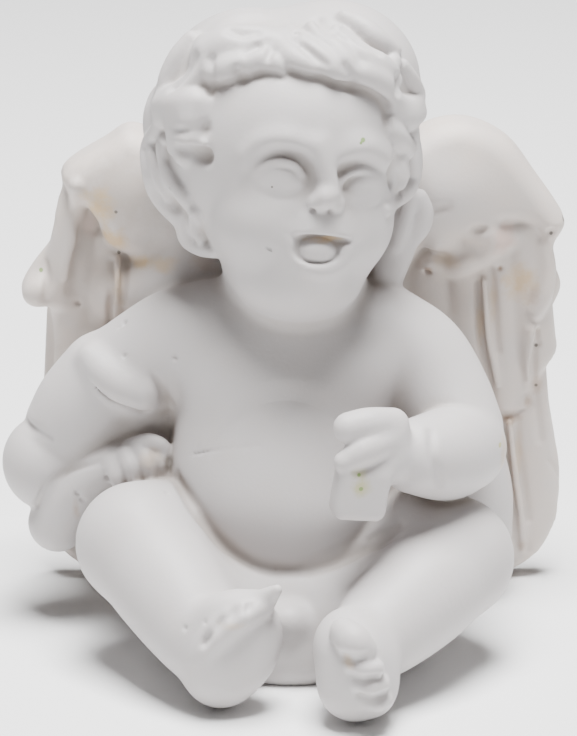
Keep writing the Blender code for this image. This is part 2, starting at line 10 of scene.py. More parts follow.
import bpy
import numpy as np
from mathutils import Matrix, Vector


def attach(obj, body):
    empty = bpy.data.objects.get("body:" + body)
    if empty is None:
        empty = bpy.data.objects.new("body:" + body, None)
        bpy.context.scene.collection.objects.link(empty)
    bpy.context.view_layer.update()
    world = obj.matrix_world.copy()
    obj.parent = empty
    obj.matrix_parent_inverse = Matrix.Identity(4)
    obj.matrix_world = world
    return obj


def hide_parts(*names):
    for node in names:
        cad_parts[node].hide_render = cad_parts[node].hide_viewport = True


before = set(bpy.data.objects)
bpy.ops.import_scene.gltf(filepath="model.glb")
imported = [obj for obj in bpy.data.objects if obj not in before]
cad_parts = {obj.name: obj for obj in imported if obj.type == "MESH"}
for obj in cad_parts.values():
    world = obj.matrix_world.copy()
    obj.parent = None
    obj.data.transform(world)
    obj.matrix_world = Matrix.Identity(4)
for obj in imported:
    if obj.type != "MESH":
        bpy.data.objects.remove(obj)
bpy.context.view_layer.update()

MM = 0.001
SMALL = np.float32
UNTURNED = (0, 0, 0)
FRONT = (0, -1, 0)
# Distances that stand for empty space, how far past its blend a form is worked, and a least slope
EMPTY = 9.0
FAR = 99.0
MARGIN = 1.0
TINY = 1e-6

# Lattice of the clay
LOW = (-30.1, -29.3, -1.7)
HIGH = (31.0, 19.4, 63.2)
COARSE_STEP = 0.8
FINE_STEP = 0.2
SKIN_TRIANGLES = 190000
REACH = 1.1
WORKERS = 4
COARSE_BLOCK = 4
CORNERS = list(np.ndindex(2, 2, 2))
# Hollows: half sides of a small and a large cube, in steps, and how much each counts
NEAR_HALF = int(round(0.4 / FINE_STEP))
WIDE_HALF = 3
NEAR_WEIGHT = 0.7
WIDE_WEIGHT = 1.3

# The head has its own frame: it looks up, leans and turns towards its left
HEAD_AT = (0.5, 0.2, 46.4)
HEAD_TURN = (-10.0, 8.0, 16.0)
HAIR_CENTRE = np.array((-0.3, 1.6, 2.2))
HAIR_RADII = np.array((11.7, 12.3, 11.7))
HEAD_MIDDLE = (0.8, 1.0, 47.0)
BODY_MIDDLE = (0.0, 0.0, 16.0)
WINGS_BEHIND = (0.0, 60.0, 25.0)


def unit(vector):
    vector = np.asarray(vector, float)
    return vector / np.linalg.norm(vector)


def turned(degrees):
    """Rotation matrix for turns about X, then Y, then Z."""
    ax, ay, az = (math.radians(angle) for angle in degrees)
    about_x = np.array([[1, 0, 0], [0, math.cos(ax), -math.sin(ax)], [0, math.sin(ax), math.cos(ax)]])
    about_y = np.array([[math.cos(ay), 0, math.sin(ay)], [0, 1, 0], [-math.sin(ay), 0, math.cos(ay)]])
    about_z = np.array([[math.cos(az), -math.sin(az), 0], [math.sin(az), math.cos(az), 0], [0, 0, 1]])
    return about_z @ about_y @ about_x


def catmull_rom(a, b, c, d, t):
    """Point a share t of the way from b to c on the smooth line through all four."""
    return 0.5 * (2 * b + (c - a) * t + (2 * a - 5 * b + 4 * c - d) * t**2 + (3 * b - a - 3 * c + d) * t**3)


def smooth_rows(rows, per):
    """Points on a smooth line through the rows, per points for each stretch."""
    known = np.asarray(rows, float)
    if len(known) == 2:
        share = np.linspace(0, 1, per + 1)[:, None]
        return known[0] * (1 - share) + known[1] * share
    padded = np.vstack([2 * known[0] - known[1], known, 2 * known[-1] - known[-2]])
    along = np.linspace(0, len(known) - 1, (len(known) - 1) * per + 1)
    stretch = np.minimum(along.astype(int), len(known) - 2)
    return catmull_rom(*(padded[stretch + shift] for shift in range(4)), (along - stretch)[:, None])


def row_box(rows):
    """Lowest and highest corner around a line of rows, with the largest radius to spare."""
    reach = rows[:, 3].max()
    return rows[:, :3].min(0) - reach, rows[:, :3].max(0) + reach


def soft_min(a, b, blend):
    """The smaller of two distances, rounded over a band of the blend's width."""
    if blend <= 0:
        return np.minimum(a, b)
    share = np.maximum(blend - np.abs(a - b), 0) / blend
    return np.minimum(a, b) - share * share * (blend / 4)


class Clay:
    """Signed distances at points that are kept in small blocks; forms are added and cut in order."""

    def __init__(self, points):
        self.points = points
        self.low = points.min(1)
        self.high = points.max(1)
        self.d = np.full(points.shape[:2], EMPTY, SMALL)
        self.set_frame()

    def set_frame(self, degrees=UNTURNED, origin=(0, 0, 0)):
        """Forms that follow are given in a frame turned by the degrees and moved to the origin."""
        self.matrix = turned(degrees).astype(SMALL)
        self.origin = np.asarray(origin, SMALL)

    def work(self, form, reach, join):
        low, high = form.low - reach, form.high + reach
        corners = np.array([[x, y, z] for x in (low[0], high[0]) for y in (low[1], high[1])
                            for z in (low[2], high[2])])
        corners = corners @ self.matrix.T + self.origin
        near = (self.high >= corners.min(0)) & (self.low <= corners.max(0))
        chosen = np.nonzero(near.all(1))[0]
        if len(chosen):
            points = (self.points[chosen].reshape(-1, 3) - self.origin) @ self.matrix
            new = form(points).astype(SMALL).reshape(len(chosen), -1)
            self.d[chosen] = join(self.d[chosen], new)

    def add(self, form, blend=0.0):
        self.work(form, blend + MARGIN, lambda old, new: soft_min(old, new, blend))

    def cut(self, form, blend=0.0):
        self.work(form, blend + MARGIN, lambda old, new: -soft_min(-old, new, blend))


class Ball:
    """Ellipsoid: distance from the scaled radius, divided by its slope."""

    def __init__(self, centre, radii, turn=UNTURNED):
        self.centre = np.asarray(centre, SMALL)
        self.radii = np.broadcast_to(np.asarray(radii, SMALL), 3)
        self.matrix = turned(turn).astype(SMALL)
        half = np.sqrt(((self.matrix * self.radii) ** 2).sum(1))
        self.low, self.high = self.centre - half, self.centre + half

    def __call__(self, points):
        local = (points - self.centre) @ self.matrix
        scaled = np.linalg.norm(local / self.radii, axis=1)
        slope = np.linalg.norm(local / self.radii**2, axis=1)
        return scaled * (scaled - 1) / np.maximum(slope, TINY)


class Block:
    """Box with rounded edges; half is its half size each way."""

    def __init__(self, centre, half, edge, turn=UNTURNED):
        self.centre = np.asarray(centre, SMALL)
        self.inner = np.asarray(half, SMALL) - SMALL(edge)
        self.edge = edge
        self.matrix = turned(turn).astype(SMALL)
        reach = np.abs(self.matrix) @ np.asarray(half, float)
        self.low, self.high = self.centre - reach, self.centre + reach

    def __call__(self, points):
        past = np.abs((points - self.centre) @ self.matrix) - self.inner
        return np.linalg.norm(np.maximum(past, 0), axis=1) + np.minimum(past.max(1), 0) - self.edge


class Limb:
    """Tube of changing radius with round ends; rows are x, y, z, radius along its middle line."""

    def __init__(self, rows, per=5):
        self.rows = smooth_rows(rows, per)
        self.low, self.high = row_box(self.rows)

    def __call__(self, points):
        best = np.full(len(points), FAR, SMALL)
        for start, end in zip(self.rows[:-1], self.rows[1:]):
            along = (end - start)[:3].astype(SMALL)
            away = points - start[:3].astype(SMALL)
            t = np.clip(away @ along / max(float(along @ along), 1e-9), 0, 1)
            away -= t[:, None] * along
            radius = SMALL(start[3]) + t * SMALL(end[3] - start[3])
            best = np.minimum(best, np.sqrt((away * away).sum(1)) - radius)
        return best


class Blade:
    """Flat tongue along a smooth line, its flat side to the front. Rows are x, y, z, half width, half
    thickness."""

    def __init__(self, rows, per=4):
        self.rows = smooth_rows(rows, per)
        self.low, self.high = row_box(self.rows)

    def __call__(self, points):
        best = np.full(len(points), FAR, SMALL)
        for start, end in zip(self.rows[:-1], self.rows[1:]):
            line = (end - start)[:3]
            side = unit(np.cross(unit(line), FRONT)).astype(SMALL)
            up = np.cross(side, unit(line)).astype(SMALL)
            away = points - start[:3].astype(SMALL)
            t = np.clip(away @ line.astype(SMALL) / float(line @ line), 0, 1)
            away -= t[:, None] * line.astype(SMALL)
            wide = SMALL(start[3]) + t * SMALL(end[3] - start[3])
            thick = SMALL(start[4]) + t * SMALL(end[4] - start[4])
            x, y, z = away @ side, away @ up, away @ unit(line).astype(SMALL)
            scaled = np.sqrt((x / wide) ** 2 + (y / thick) ** 2 + (z / thick) ** 2)
            slope = np.sqrt((x / wide**2) ** 2 + (y / thick**2) ** 2 + (z / thick**2) ** 2)
            best = np.minimum(best, scaled * (scaled - 1) / np.maximum(slope, TINY))
        return best


class Sheet:
    """Upright sheet with a rounded edge. The outline is a closed line of x and z points; middle(x, z) is
    the y of its middle, half(x, z) half its thickness."""

    Y_RANGE = (4.0, 17.5)
    # Points that share x and z are worked once: their keys count steps of x and z
    STEPS_PER_MM = 256
    KEY_SHIFT = 65536
    KEY_WIDTH = 262144

    def __init__(self, outline, middle, half, edge, per=5):
        known = np.asarray(outline, float)
        padded = np.vstack([known[-1], known, known[0], known[1]])
        near = (padded[i:i + len(known)][:, None] for i in range(4))
        self.ring = catmull_rom(*near, np.linspace(0, 1, per, endpoint=False)[None, :, None]).reshape(-1, 2)
        self.middle, self.half, self.edge = middle, half, edge
        self.low = np.array([self.ring[:, 0].min(), self.Y_RANGE[0], self.ring[:, 1].min()])
        self.high = np.array([self.ring[:, 0].max(), self.Y_RANGE[1], self.ring[:, 1].max()])

    def flat_distance(self, spots):
        """Distance to the outline, negative inside, by each side's nearest point and a crossing count."""
        squared = np.full(len(spots), 1e9)
        inside = np.zeros(len(spots), bool)
        for start, end in zip(self.ring, np.roll(self.ring, -1, axis=0)):
            line = end - start
            away = spots - start
            t = np.clip(away @ line / (line @ line + 1e-12), 0, 1)
            squared = np.minimum(squared, ((away - t[:, None] * line) ** 2).sum(1))
            crosses = (start[1] > spots[:, 1]) != (end[1] > spots[:, 1])
            if line[1] != 0:
                inside ^= crosses & (spots[:, 0] < start[0] + line[0] * (spots[:, 1] - start[1]) / line[1])
        return np.where(inside, -1, 1) * np.sqrt(squared)

    def __call__(self, points):
        x, y, z = points.T
        keys = np.round(points[:, ::2] * self.STEPS_PER_MM).astype(np.int64) + self.KEY_SHIFT
        _, first, back = np.unique(keys[:, 0] * self.KEY_WIDTH + keys[:, 1], return_index=True,
                                   return_inverse=True)
        flat = self.flat_distance(points[first][:, ::2].astype(float))[back.ravel()].astype(SMALL)
        across = np.abs(y - self.middle(x, z)) - self.half(x, z)
        past = np.stack([flat + self.edge, across + self.edge], 1)
        return np.linalg.norm(np.maximum(past, 0), axis=1) + np.minimum(past.max(1), 0) - self.edge


class Carved:
    """One form with others cut from it."""

    def __init__(self, form, cuts, blend):
        self.form, self.cuts, self.blend = form, cuts, blend
        self.low, self.high = form.low, form.high

    def __call__(self, points):
        d = self.form(points)
        for cut in self.cuts:
            d = -soft_min(-d, cut(points), self.blend)
        return d


# Places seen at a point of the picture, in its pixels

CAMERA_AIM = np.array((0.3, 0.0, 26.4))
CAMERA_DISTANCE = 300.0
CAMERA_ELEVATION = 18.0
FOCAL_PIXELS = 3150.0
PICTURE = (577.0, 736.0)
RAY_SPAN = 40.0
RAY_STEP = 0.25


def sight(px, py):
    """The camera's place and the direction of its ray through a point of the picture."""
    e = math.radians(CAMERA_ELEVATION)
    back = np.array([0.0, -math.cos(e), math.sin(e)])
    right = np.array([1.0, 0.0, 0.0])
    up = np.cross(back, right)
    ray = right * (px - PICTURE[0] / 2) - up * (py - PICTURE[1] / 2) - back * FOCAL_PIXELS
    return CAMERA_AIM + back * CAMERA_DISTANCE, ray / np.linalg.norm(ray)


def at_depth(px, py, y):
    """Place with that y on the ray through a point of the picture."""
    eye, ray = sight(px, py)
    return eye + ray * ((y - eye[1]) / ray[1])


def seen_on(sculptor, spots, middle):
    """Places where rays through points of the picture first meet a clay, or pass nearest to it, and the
    share along the ray of the way out of the clay's middle. The rays are walked in even steps."""
    rays = [sight(px, py) for px, py in spots]
    eye = rays[0][0]
    ways = np.array([ray for _, ray in rays])
    walk = np.arange(CAMERA_DISTANCE - RAY_SPAN, CAMERA_DISTANCE + RAY_SPAN, RAY_STEP)
    clay = Clay((eye + ways[:, None] * walk[None, :, None]).astype(SMALL))
    sculptor(clay)
    d = clay.d
    hits = d < 0
    first = np.where(hits.any(1), hits.argmax(1), d.argmin(1))
    rows = np.arange(len(spots))
    before = np.maximum(first - 1, 0)
    fall = d[rows, before] - d[rows, first] + TINY
    share = np.where(hits.any(1) & (first > 0), d[rows, before] / fall, 1)
    places = eye + ways * (walk[before] + share * RAY_STEP)[:, None]
    out = places - np.asarray(middle)
    out /= np.linalg.norm(out, axis=1)[:, None]
    return places, ways * (out * ways).sum(1)[:, None]


def laid_on(sculptor, middle, lines):
    """Rows of x, y, z, radius for each line laid on what a sculptor makes. The line's rows are px, py,
    radius and lift over the surface; a row of three has no lift."""
    spots = [(row[0], row[1]) for line in lines for row in line]
    places, out = seen_on(sculptor, spots, middle)
    result = []
    start = 0
    for line in lines:
        stop = start + len(line)
        lifts = np.array([row[3] if len(row) > 3 else 0.0 for row in line])[:, None]
        radii = np.array([row[2] for row in line])[:, None]
        result.append(np.hstack([places[start:stop] + out[start:stop] * lifts, radii]))
        start = stop
    return result


def spot_or_limb(rows):
    """A ball for one row, a tube for more."""
    return ball_at(rows, rows[0, 3]) if len(rows) == 1 else Limb(rows)


def ball_at(rows, radii, turn=UNTURNED):
    """A ball at the first of the rows."""
    return Ball(rows[0, :3], radii, turn)


def depth_rows(rows):
    """Rows of x, y, z, radius from rows of px, py, y, radius."""
    return [(*at_depth(px, py, y), radius) for px, py, y, radius in rows]


def add_balls(clay, balls):
    """Ellipsoids given by centre, radii, turn and blend."""
    for centre, radii, turn, blend in balls:
        clay.add(Ball(centre, radii, turn), blend)


def add_tubes(clay, tubes):
    """Tubes given by rows of x, y, z, radius, points for each stretch, and blend."""
    for rows, per, blend in tubes:
        clay.add(Limb(rows, per), blend)


def add_lines(clay, lines, blend):
    """Tubes given by rows of px, py, y, radius."""
    for rows in lines:
        clay.add(Limb(depth_rows(rows)), blend)


def dress(clay, places, raised, cut):
    """Add the lines of one table and cut those of the next, at the places that were found for both."""
    for rows, (_, blend) in zip(places, raised):
        clay.add(spot_or_limb(rows), blend)
    for rows, (_, blend) in zip(places[len(raised):], cut):
        clay.cut(spot_or_limb(rows), blend)


# Body. Balls are centre, radii, turn, blend

TRUNK = (
    ((0.4, 1.6, 26.3), (10.2, 8.0, 8.6), UNTURNED, 0.0),
    ((0.2, -0.4, 20.4), (10.1, 8.6, 10.6), UNTURNED, 4.5),
    ((-0.2, -1.8, 15.2), (11.0, 10.2, 9.9), UNTURNED, 3.0),
    ((0.5, 3.0, 7.6), (13.0, 9.6, 8.8), UNTURNED, 2.0),
    ((0.4, 5.0, 22.0), (9.6, 6.2, 12.0), UNTURNED, 3.0),
)
CHEST = [((x, -3.0, 27.0), (4.6, 2.4, 3.4), UNTURNED, 3.5) for x in (-4.0, 5.4)]
NECK = [(0.6, 2.0, 30.0, 7.2), (1.0, 1.0, 37.0, 6.6)]
# Thighs and shins: rows of x, y, z, radius, then points for each stretch, and blend
LEG_TUBES = (
    ([(-4.4, -2.5, 6.4, 6.8), (-9.6, -5.0, 9.7, 6.9), (-14.0, -8.0, 11.6, 5.5)], 10, 0.5),
    ([(-13.8, -8.4, 11.8, 5.5), (-10.6, -13.2, 9.2, 5.3), (-7.7, -17.6, 6.6, 4.5), (-6.4, -19.6, 5.2, 3.4)],
     8, 1.4),
    ([(5.0, -2.5, 6.2, 6.6), (10.6, -4.6, 9.0, 7.0), (15.8, -7.6, 10.2, 5.6)], 10, 0.5),
    ([(15.6, -8.0, 9.9, 5.5), (12.4, -13.2, 8.6, 5.3), (8.9, -17.6, 6.9, 4.4), (6.8, -20.0, 6.2, 3.5)],
     8, 1.4),
)
# Flesh under the calves, the ground between the legs, the lap, and a lump between the feet
LEG_BALLS = (
    ((-6.6, -8.6, 5.6), (7.2, 8.0, 6.2), (0, 14, 0), 2.0),
    ((7.2, -8.6, 5.2), (7.4, 8.0, 6.2), (0, -12, 0), 2.0),
    ((0.4, -8.2, 2.4), (7.9, 7.4, 5.2), UNTURNED, 2.5),
    (at_depth(292, 594, -9.4), (5.6, 3.2, 3.0), UNTURNED, 2.5),
    (at_depth(289, 622, -14.6), (1.5, 1.2, 1.4), UNTURNED, 1.8),
)


def torso(clay):
    add_balls(clay, TRUNK)
    clay.add(Limb(NECK), 2.0)
    add_balls(clay, CHEST)


def legs(clay):
    add_tubes(clay, LEG_TUBES)
    add_balls(clay, LEG_BALLS)


# Feet. Toes and notches are rows of px, py, y, radius
RIGHT_SOLE = ((-4.8, -20.2, 6.3), (4.4, 3.4, 5.4), (0, 26, 10))
RIGHT_SOLE_CUT = ((-4.4, -25.2, 6.3), (8.0, 2.2, 9.0), 0.3, (-6, 26, 10))
RIGHT_HEEL = ((-6.0, -20.0, 3.4), (3.1, 2.6, 3.0))
RIGHT_BIG_TOE = [(256, 607, -20.2, 1.3), (266, 599, -21.2, 1.0), (277, 590, -22.0, 0.5)]
RIGHT_TOE_RIDGE = [(262, 607, -21.6, 0.9), (245, 613, -22.2, 1.25), (228, 625, -22.5, 1.3),
                   (213, 640, -22.5, 1.25), (203, 655, -22.2, 1.0)]
RIGHT_TOE_BACK = [(250, 602, -20.6, 1.0), (232, 604, -20.8, 1.2), (213, 612, -20.8, 1.3),
                  (197, 628, -20.4, 1.3), (194, 645, -20.4, 1.1)]
RIGHT_TOE_NOTCHES = [(250, 606, -23.0, 0.25), (234, 612, -23.3, 0.3), (219, 625, -23.4, 0.3),
                     (207, 640, -23.2, 0.3)]
# A notch's width and height for each unit of its radius, and its depth
NOTCH_WIDTH = 0.8
NOTCH_HEIGHT = 2.2
NOTCH_DEPTH = 0.5
LEFT_SOLE = (
    ((6.3, -22.0, 6.3), (3.7, 4.3, 4.4), (14, -22, 0), 1.0),
    ((6.2, -23.2, 3.8), (3.3, 2.9, 3.6), (14, -22, 0), 1.0),
    (at_depth(370, 668, -22.6), (2.5, 3.2, 4.4), (0, -12, 0), 1.0),
)
LEFT_TOES = (
    [(344, 632, -25.0, 1.3), (354, 641, -25.9, 1.5), (364, 648, -25.9, 1.1)],
    [(354, 665, -26.1, 0.75), (364, 669, -26.6, 0.9), (376, 668, -26.4, 0.8)],
    [(360, 684, -26.1, 0.7), (371, 687, -26.5, 0.85), (382, 684, -26.0, 0.75)],
    [(366, 701, -25.5, 0.65), (377, 704, -25.8, 0.75), (386, 700, -25.4, 0.65)],
)
LEFT_TOE_NOTCHES = (
    [(344, 657, -26.6, 0.45), (356, 659, -27.4, 0.45), (368, 656, -27.2, 0.3)],
    [(352, 676, -26.8, 0.3), (364, 678, -27.2, 0.3), (376, 676, -27.0, 0.25)],
    [(360, 695, -26.4, 0.3), (372, 696, -26.8, 0.3), (384, 692, -26.4, 0.25)],
)


def right_foot(clay):
    """Foot that stands on its heel, a pointed big toe at the top and the row of toes falling away."""
    clay.add(Carved(Ball(*RIGHT_SOLE), [Block(*RIGHT_SOLE_CUT)], 0.8), 0.8)
    clay.add(Ball(*RIGHT_HEEL), 1.2)
    for rows, blend in ((RIGHT_TOE_BACK, 1.0), (RIGHT_TOE_RIDGE, 0.8), (RIGHT_BIG_TOE, 0.6)):
        clay.add(Limb(depth_rows(rows)), blend)
    for *place, radius in depth_rows(RIGHT_TOE_NOTCHES):
        clay.cut(Ball(place, (radius * NOTCH_WIDTH, NOTCH_DEPTH, radius * NOTCH_HEIGHT), (0, 30, 0)), 0.8)


def left_foot(clay):
    """Foot that lies on its outer edge, with its toes towards the front."""
    add_balls(clay, LEFT_SOLE)
    add_lines(clay, LEFT_TOES, 0.6)
    for rows in LEFT_TOE_NOTCHES:
        clay.cut(Limb(depth_rows(rows)), 0.5)


# Arms: tubes as for the legs
RIGHT_ARM_TUBES = (
    ([(-7.4, 1.8, 28.9, 5.5), (-10.4, 2.1, 27.9, 5.5), (-14.4, 2.6, 25.5, 5.1)], 8, 1.6),
    ([(-17.2, 3.0, 24.4, 4.7), (-19.5, 3.2, 21.7, 4.6), (-21.0, 3.3, 19.6, 4.2)], 8, 0.5),
)
ELBOW = ((-23.2, 3.2, 15.7), (4.3, 4.2, 4.7), (0, -8, 0))
# Lines: rows of px, py, y, radius
RIGHT_FOREARM = [(58, 522, 2.0, 2.9), (72, 496, 1.0, 2.7), (95, 476, -0.4, 2.1), (118, 464, -1.2, 1.9)]
RIGHT_HAND = (at_depth(138, 461, -1.4), (3.1, 2.0, 1.9), (0, -20, 0))
RIGHT_FINGERS = (
    [(112, 462, -2.2, 0.8), (116, 474, -3.0, 0.8), (118, 484, -3.2, 0.6)],
    [(126, 454, -2.4, 0.8), (131, 466, -3.3, 0.85), (134, 478, -3.4, 0.7)],
    [(141, 450, -2.4, 0.8), (147, 461, -3.3, 0.85), (150, 474, -3.4, 0.7)],
    [(155, 451, -2.0, 0.7), (161, 460, -2.9, 0.75), (164, 472, -3.0, 0.6)],
    [(132, 446, -1.4, 0.75), (146, 441, -2.2, 0.75), (160, 444, -2.6, 0.7), (168, 452, -2.6, 0.55)],
)
# Ground of the shallow hollow behind the right arm, and the web above it
BEHIND_ARM = ((-15.5, 9.0, 19.0), (8.0, 3.0, 8.0))
ARMPIT_WEB = [(66, 452, 2.4, 2.2), (100, 440, 2.2, 2.3), (135, 428, 2.2, 2.4), (160, 424, 2.0, 2.4)]
LEFT_ARM_TUBES = (
    ([(9.0, 1.8, 28.6, 5.5), (12.5, 1.0, 26.8, 5.1), (14.9, -0.8, 23.8, 4.7), (16.2, -2.6, 21.2, 4.5)],
     10, 1.4),
    ([(16.6, -4.6, 20.0, 4.3), (14.8, -8.0, 20.5, 4.3), (12.0, -11.0, 21.4, 3.5)], 10, 0.4),
)
LEFT_WRIST = ((9.4, -13.2, 22.4), (2.8, 2.4, 2.9), (0, 0, 30))
# The fingers end in a flat broken face; the thumb and one finger lie over them
BROKEN_FINGERS = (at_depth(360, 491, -15.4), (2.5, 1.6, 2.6), 1.0, (2, 8, 14))
LEFT_PALM = (
    (at_depth(374, 468, -14.6), 1.9, UNTURNED, 0.8),
    (at_depth(388, 450, -12.6), 2.2, UNTURNED, 0.8),
)
LEFT_FINGERS = (
    [(392, 436, -13.6, 1.6), (368, 448, -15.8, 1.4), (345, 462, -16.4, 1.05)],
    [(392, 425, -13.2, 1.6), (368, 424, -14.8, 1.5), (349, 428, -15.2, 1.45)],
)
# Fills the gap that the picture's view would show between the left hip and the wing
HIP_FILL = [(470, 440, 8.0, 3.0), (480, 490, 8.0, 3.2), (482, 530, 8.0, 3.0)]


def right_arm(clay):
    """Arm in fat folds, with the hand on the hip."""
    add_tubes(clay, RIGHT_ARM_TUBES)
    clay.add(Ball(*ELBOW), 0.5)
    clay.add(Limb(depth_rows(RIGHT_FOREARM)), 0.5)
    clay.add(Ball(*RIGHT_HAND), 0.7)
    add_lines(clay, RIGHT_FINGERS, 0.45)
    clay.add(Ball(*BEHIND_ARM), 1.0)
    clay.add(Limb(depth_rows(ARMPIT_WEB)), 1.6)


def left_arm(clay):
    """Arm across the belly, with its broken hand."""
    add_tubes(clay, LEFT_ARM_TUBES)
    clay.add(Ball(*LEFT_WRIST), 0.6)
    clay.add(Block(*BROKEN_FINGERS), 0.6)
    add_balls(clay, LEFT_PALM)
    clay.add(Limb(depth_rows(HIP_FILL)), 2.0)
    add_lines(clay, LEFT_FINGERS, 0.5)


# Folds that swell over the body, then creases cut into it: rows of px, py, radius, lift, and the blend
FOLDS = (
    ([(90, 356, 1.0, -1.05), (104, 372, 1.4, -1.4), (121, 385, 1.6, -1.55), (142, 393, 1.5, -1.45)], 1.4),
)
CREASES = (
    ([(86, 364, 0.12), (97, 381, 0.25), (111, 395, 0.3), (127, 404, 0.35),
      (143, 411, 0.4)], 0.7),
    ([(26, 420, 0.1, 0.05), (38, 431, 0.2, 0.05), (50, 438, 0.1, 0.1)], 0.8),
    ([(153, 376, 0.12, 0.05), (161, 390, 0.3), (167, 403, 0.45)], 0.8),
    ([(177, 478, 0.35), (192, 506, 0.4), (211, 530, 0.45), (234, 552, 0.45),
      (262, 566, 0.4, 0.05), (290, 569, 0.3, 0.1), (320, 568, 0.3, 0.1), (342, 561, 0.35, 0.05),
      (365, 549, 0.35), (385, 538, 0.35), (400, 526, 0.2)], 0.9),
    ([(190, 455, 0.1, 0.05), (225, 449, 0.12, 0.06), (262, 446, 0.1, 0.07)], 0.12),
    ([(431, 432, 0.1, 0.05), (434, 458, 0.2, 0.1), (440, 486, 0.15, 0.05)], 0.9),
    ([(36, 505, 0.2), (48, 484, 0.25), (70, 470, 0.25), (98, 462, 0.2)], 0.5),
    ([(368, 540, 0.2), (380, 533, 0.35), (398, 522, 0.2)], 0.4),
    ([(378, 548, 0.15), (390, 541, 0.3), (400, 536, 0.15)], 0.4),
)


def body_alone(clay):
    torso(clay)
    legs(clay)
    right_foot(clay)
    left_foot(clay)
    right_arm(clay)
    left_arm(clay)


def body_places():
    return laid_on(body_alone, BODY_MIDDLE, [rows for rows, _ in FOLDS + CREASES])


def body(clay, places):
    body_alone(clay)
    dress(clay, places, FOLDS, CREASES)


# Wings

LEFT_WING = [(6, 44), (11, 45.8), (14.5, 47.6), (17.8, 47.8), (21.4, 46.0), (24.2, 42.4), (26.5, 39.2),
             (27.2, 37.4), (25.6, 35.4), (26.4, 33), (27.2, 30.6), (26.1, 27.6), (25.8, 24), (26.2, 19.6),
             (27.0, 15), (27.6, 11.4), (27.5, 7.4), (26.2, 3.3), (22.8, 0.6), (17, -0.6), (9, -0.6),
             (4, 2), (2, 30)]
RIGHT_WING = [(-6, 44), (-11, 45.6), (-14.8, 47.2), (-17.4, 45.8), (-21.5, 43.0), (-21.3, 40),
              (-21.7, 37.6), (-23.2, 35.2), (-25.0, 32.8), (-26.0, 30.8), (-25.2, 29.6), (-23.2, 28.4),
              (-22.9, 22), (-23.4, 14), (-24.4, 7), (-22.8, 3.0), (-18.6, 0.2), (-14, -0.6), (-8, -0.6),
              (-4, 2), (-2, 30)]
LEFT_DOME = LEFT_WING[:9] + [(24.0, 37.4), (21.4, 38.0), (19.0, 36.6), (14.5, 36.2), (7, 36)]
RIGHT_DOME = RIGHT_WING[:5] + [(-20.6, 40.6), (-18.4, 38.6), (-17.2, 35.8), (-13.4, 34.0), (-9, 33.8),
                               (-5, 36)]
# Feathers: x and z at the root, x and z at the tip, half width, y of the middle
LEFT_FEATHERS = (
    (9.5, 35, 11.5, 20.0, 3.3, 11.4), (13.6, 35, 15.2, 18.4, 3.0, 11.5), (23.4, 37, 24.6, 22.4, 2.5, 11.2),
    (17.6, 35, 18.8, 20.0, 2.4, 11.3), (20.6, 35, 21.6, 18.4, 2.2, 11.1), (12.0, 30, 13.0, 3.6, 3.4, 12.2),
    (16.8, 28, 18.4, 1.8, 3.2, 12.1), (23.6, 24, 25.0, 3.6, 2.7, 12.4), (21.0, 26, 22.0, 1.8, 3.0, 12.0),
)
RIGHT_FEATHERS = (
    (-9.5, 35, -11.0, 20.0, 3.3, 11.3), (-13.4, 35, -14.6, 18.6, 3.0, 11.5),
    (-20.6, 36, -20.4, 21.0, 2.2, 12.0), (-16.8, 36, -17.6, 18.0, 2.6, 11.5),
    (-12.0, 30, -12.6, 3.6, 3.2, 12.2), (-15.6, 28, -16.6, 2.2, 3.0, 12.1),
    (-21.0, 24, -22.0, 5.0, 2.2, 12.4), (-18.8, 26, -19.6, 2.8, 2.6, 12.1),
)
BACK_FEATHERS = (
    (8.6, 30, 8.2, 2.6, 2.9, 14.3), (13.2, 30, 13.2, 1.6, 2.9, 13.8), (17.8, 30, 18.2, 2.2, 2.9, 14.3),
    (21.6, 28, 22.6, 4.4, 2.6, 13.8), (9.2, 40, 9.8, 17.6, 2.9, 15.2), (13.8, 41, 14.4, 16.6, 2.9, 14.7),
    (18.2, 40, 19.2, 17.6, 2.8, 15.2),
)
# Ribs and grooves laid on the wings: rows of px, py, radius, lift, and the blend
WING_RIBS = (
    ([(485, 281, 0.4, 0.1), (486, 305, 0.45, 0.2), (488, 335, 0.45, 0.2), (493, 362, 0.4, 0.15),
      (497, 384, 0.3)], 0.3),
    ([(509, 417, 0.35, 0.1), (511, 440, 0.4, 0.2), (515, 475, 0.45, 0.2), (520, 510, 0.4, 0.2),
      (523, 550, 0.3)], 0.3),
    ([(118, 258, 0.35, 0.1), (118, 285, 0.4, 0.2), (117, 316, 0.4, 0.2)], 0.3),
    ([(76, 186, 0.6), (77, 204, 0.7, 0.1), (73, 232, 0.6, 0.2), (68, 255, 0.5, 0.2),
      (66, 276, 0.4)], 0.8),
    ([(430, 262, 0.9, 0.1), (446, 266, 1.0, 0.2), (464, 264, 1.0, 0.3), (481, 255, 1.0, 0.2),
      (496, 243, 0.8)], 1.0),
    ([(436, 240, 0.9), (462, 240, 1.1, 0.1), (486, 232, 0.9)], 1.4),
    ([(545, 246, 0.7), (548, 268, 0.8, 0.1), (545, 292, 0.8, 0.1), (536, 312, 0.6)], 0.8),
    ([(533, 330, 0.6), (530, 352, 0.6), (532, 380, 0.5)], 0.8),
)
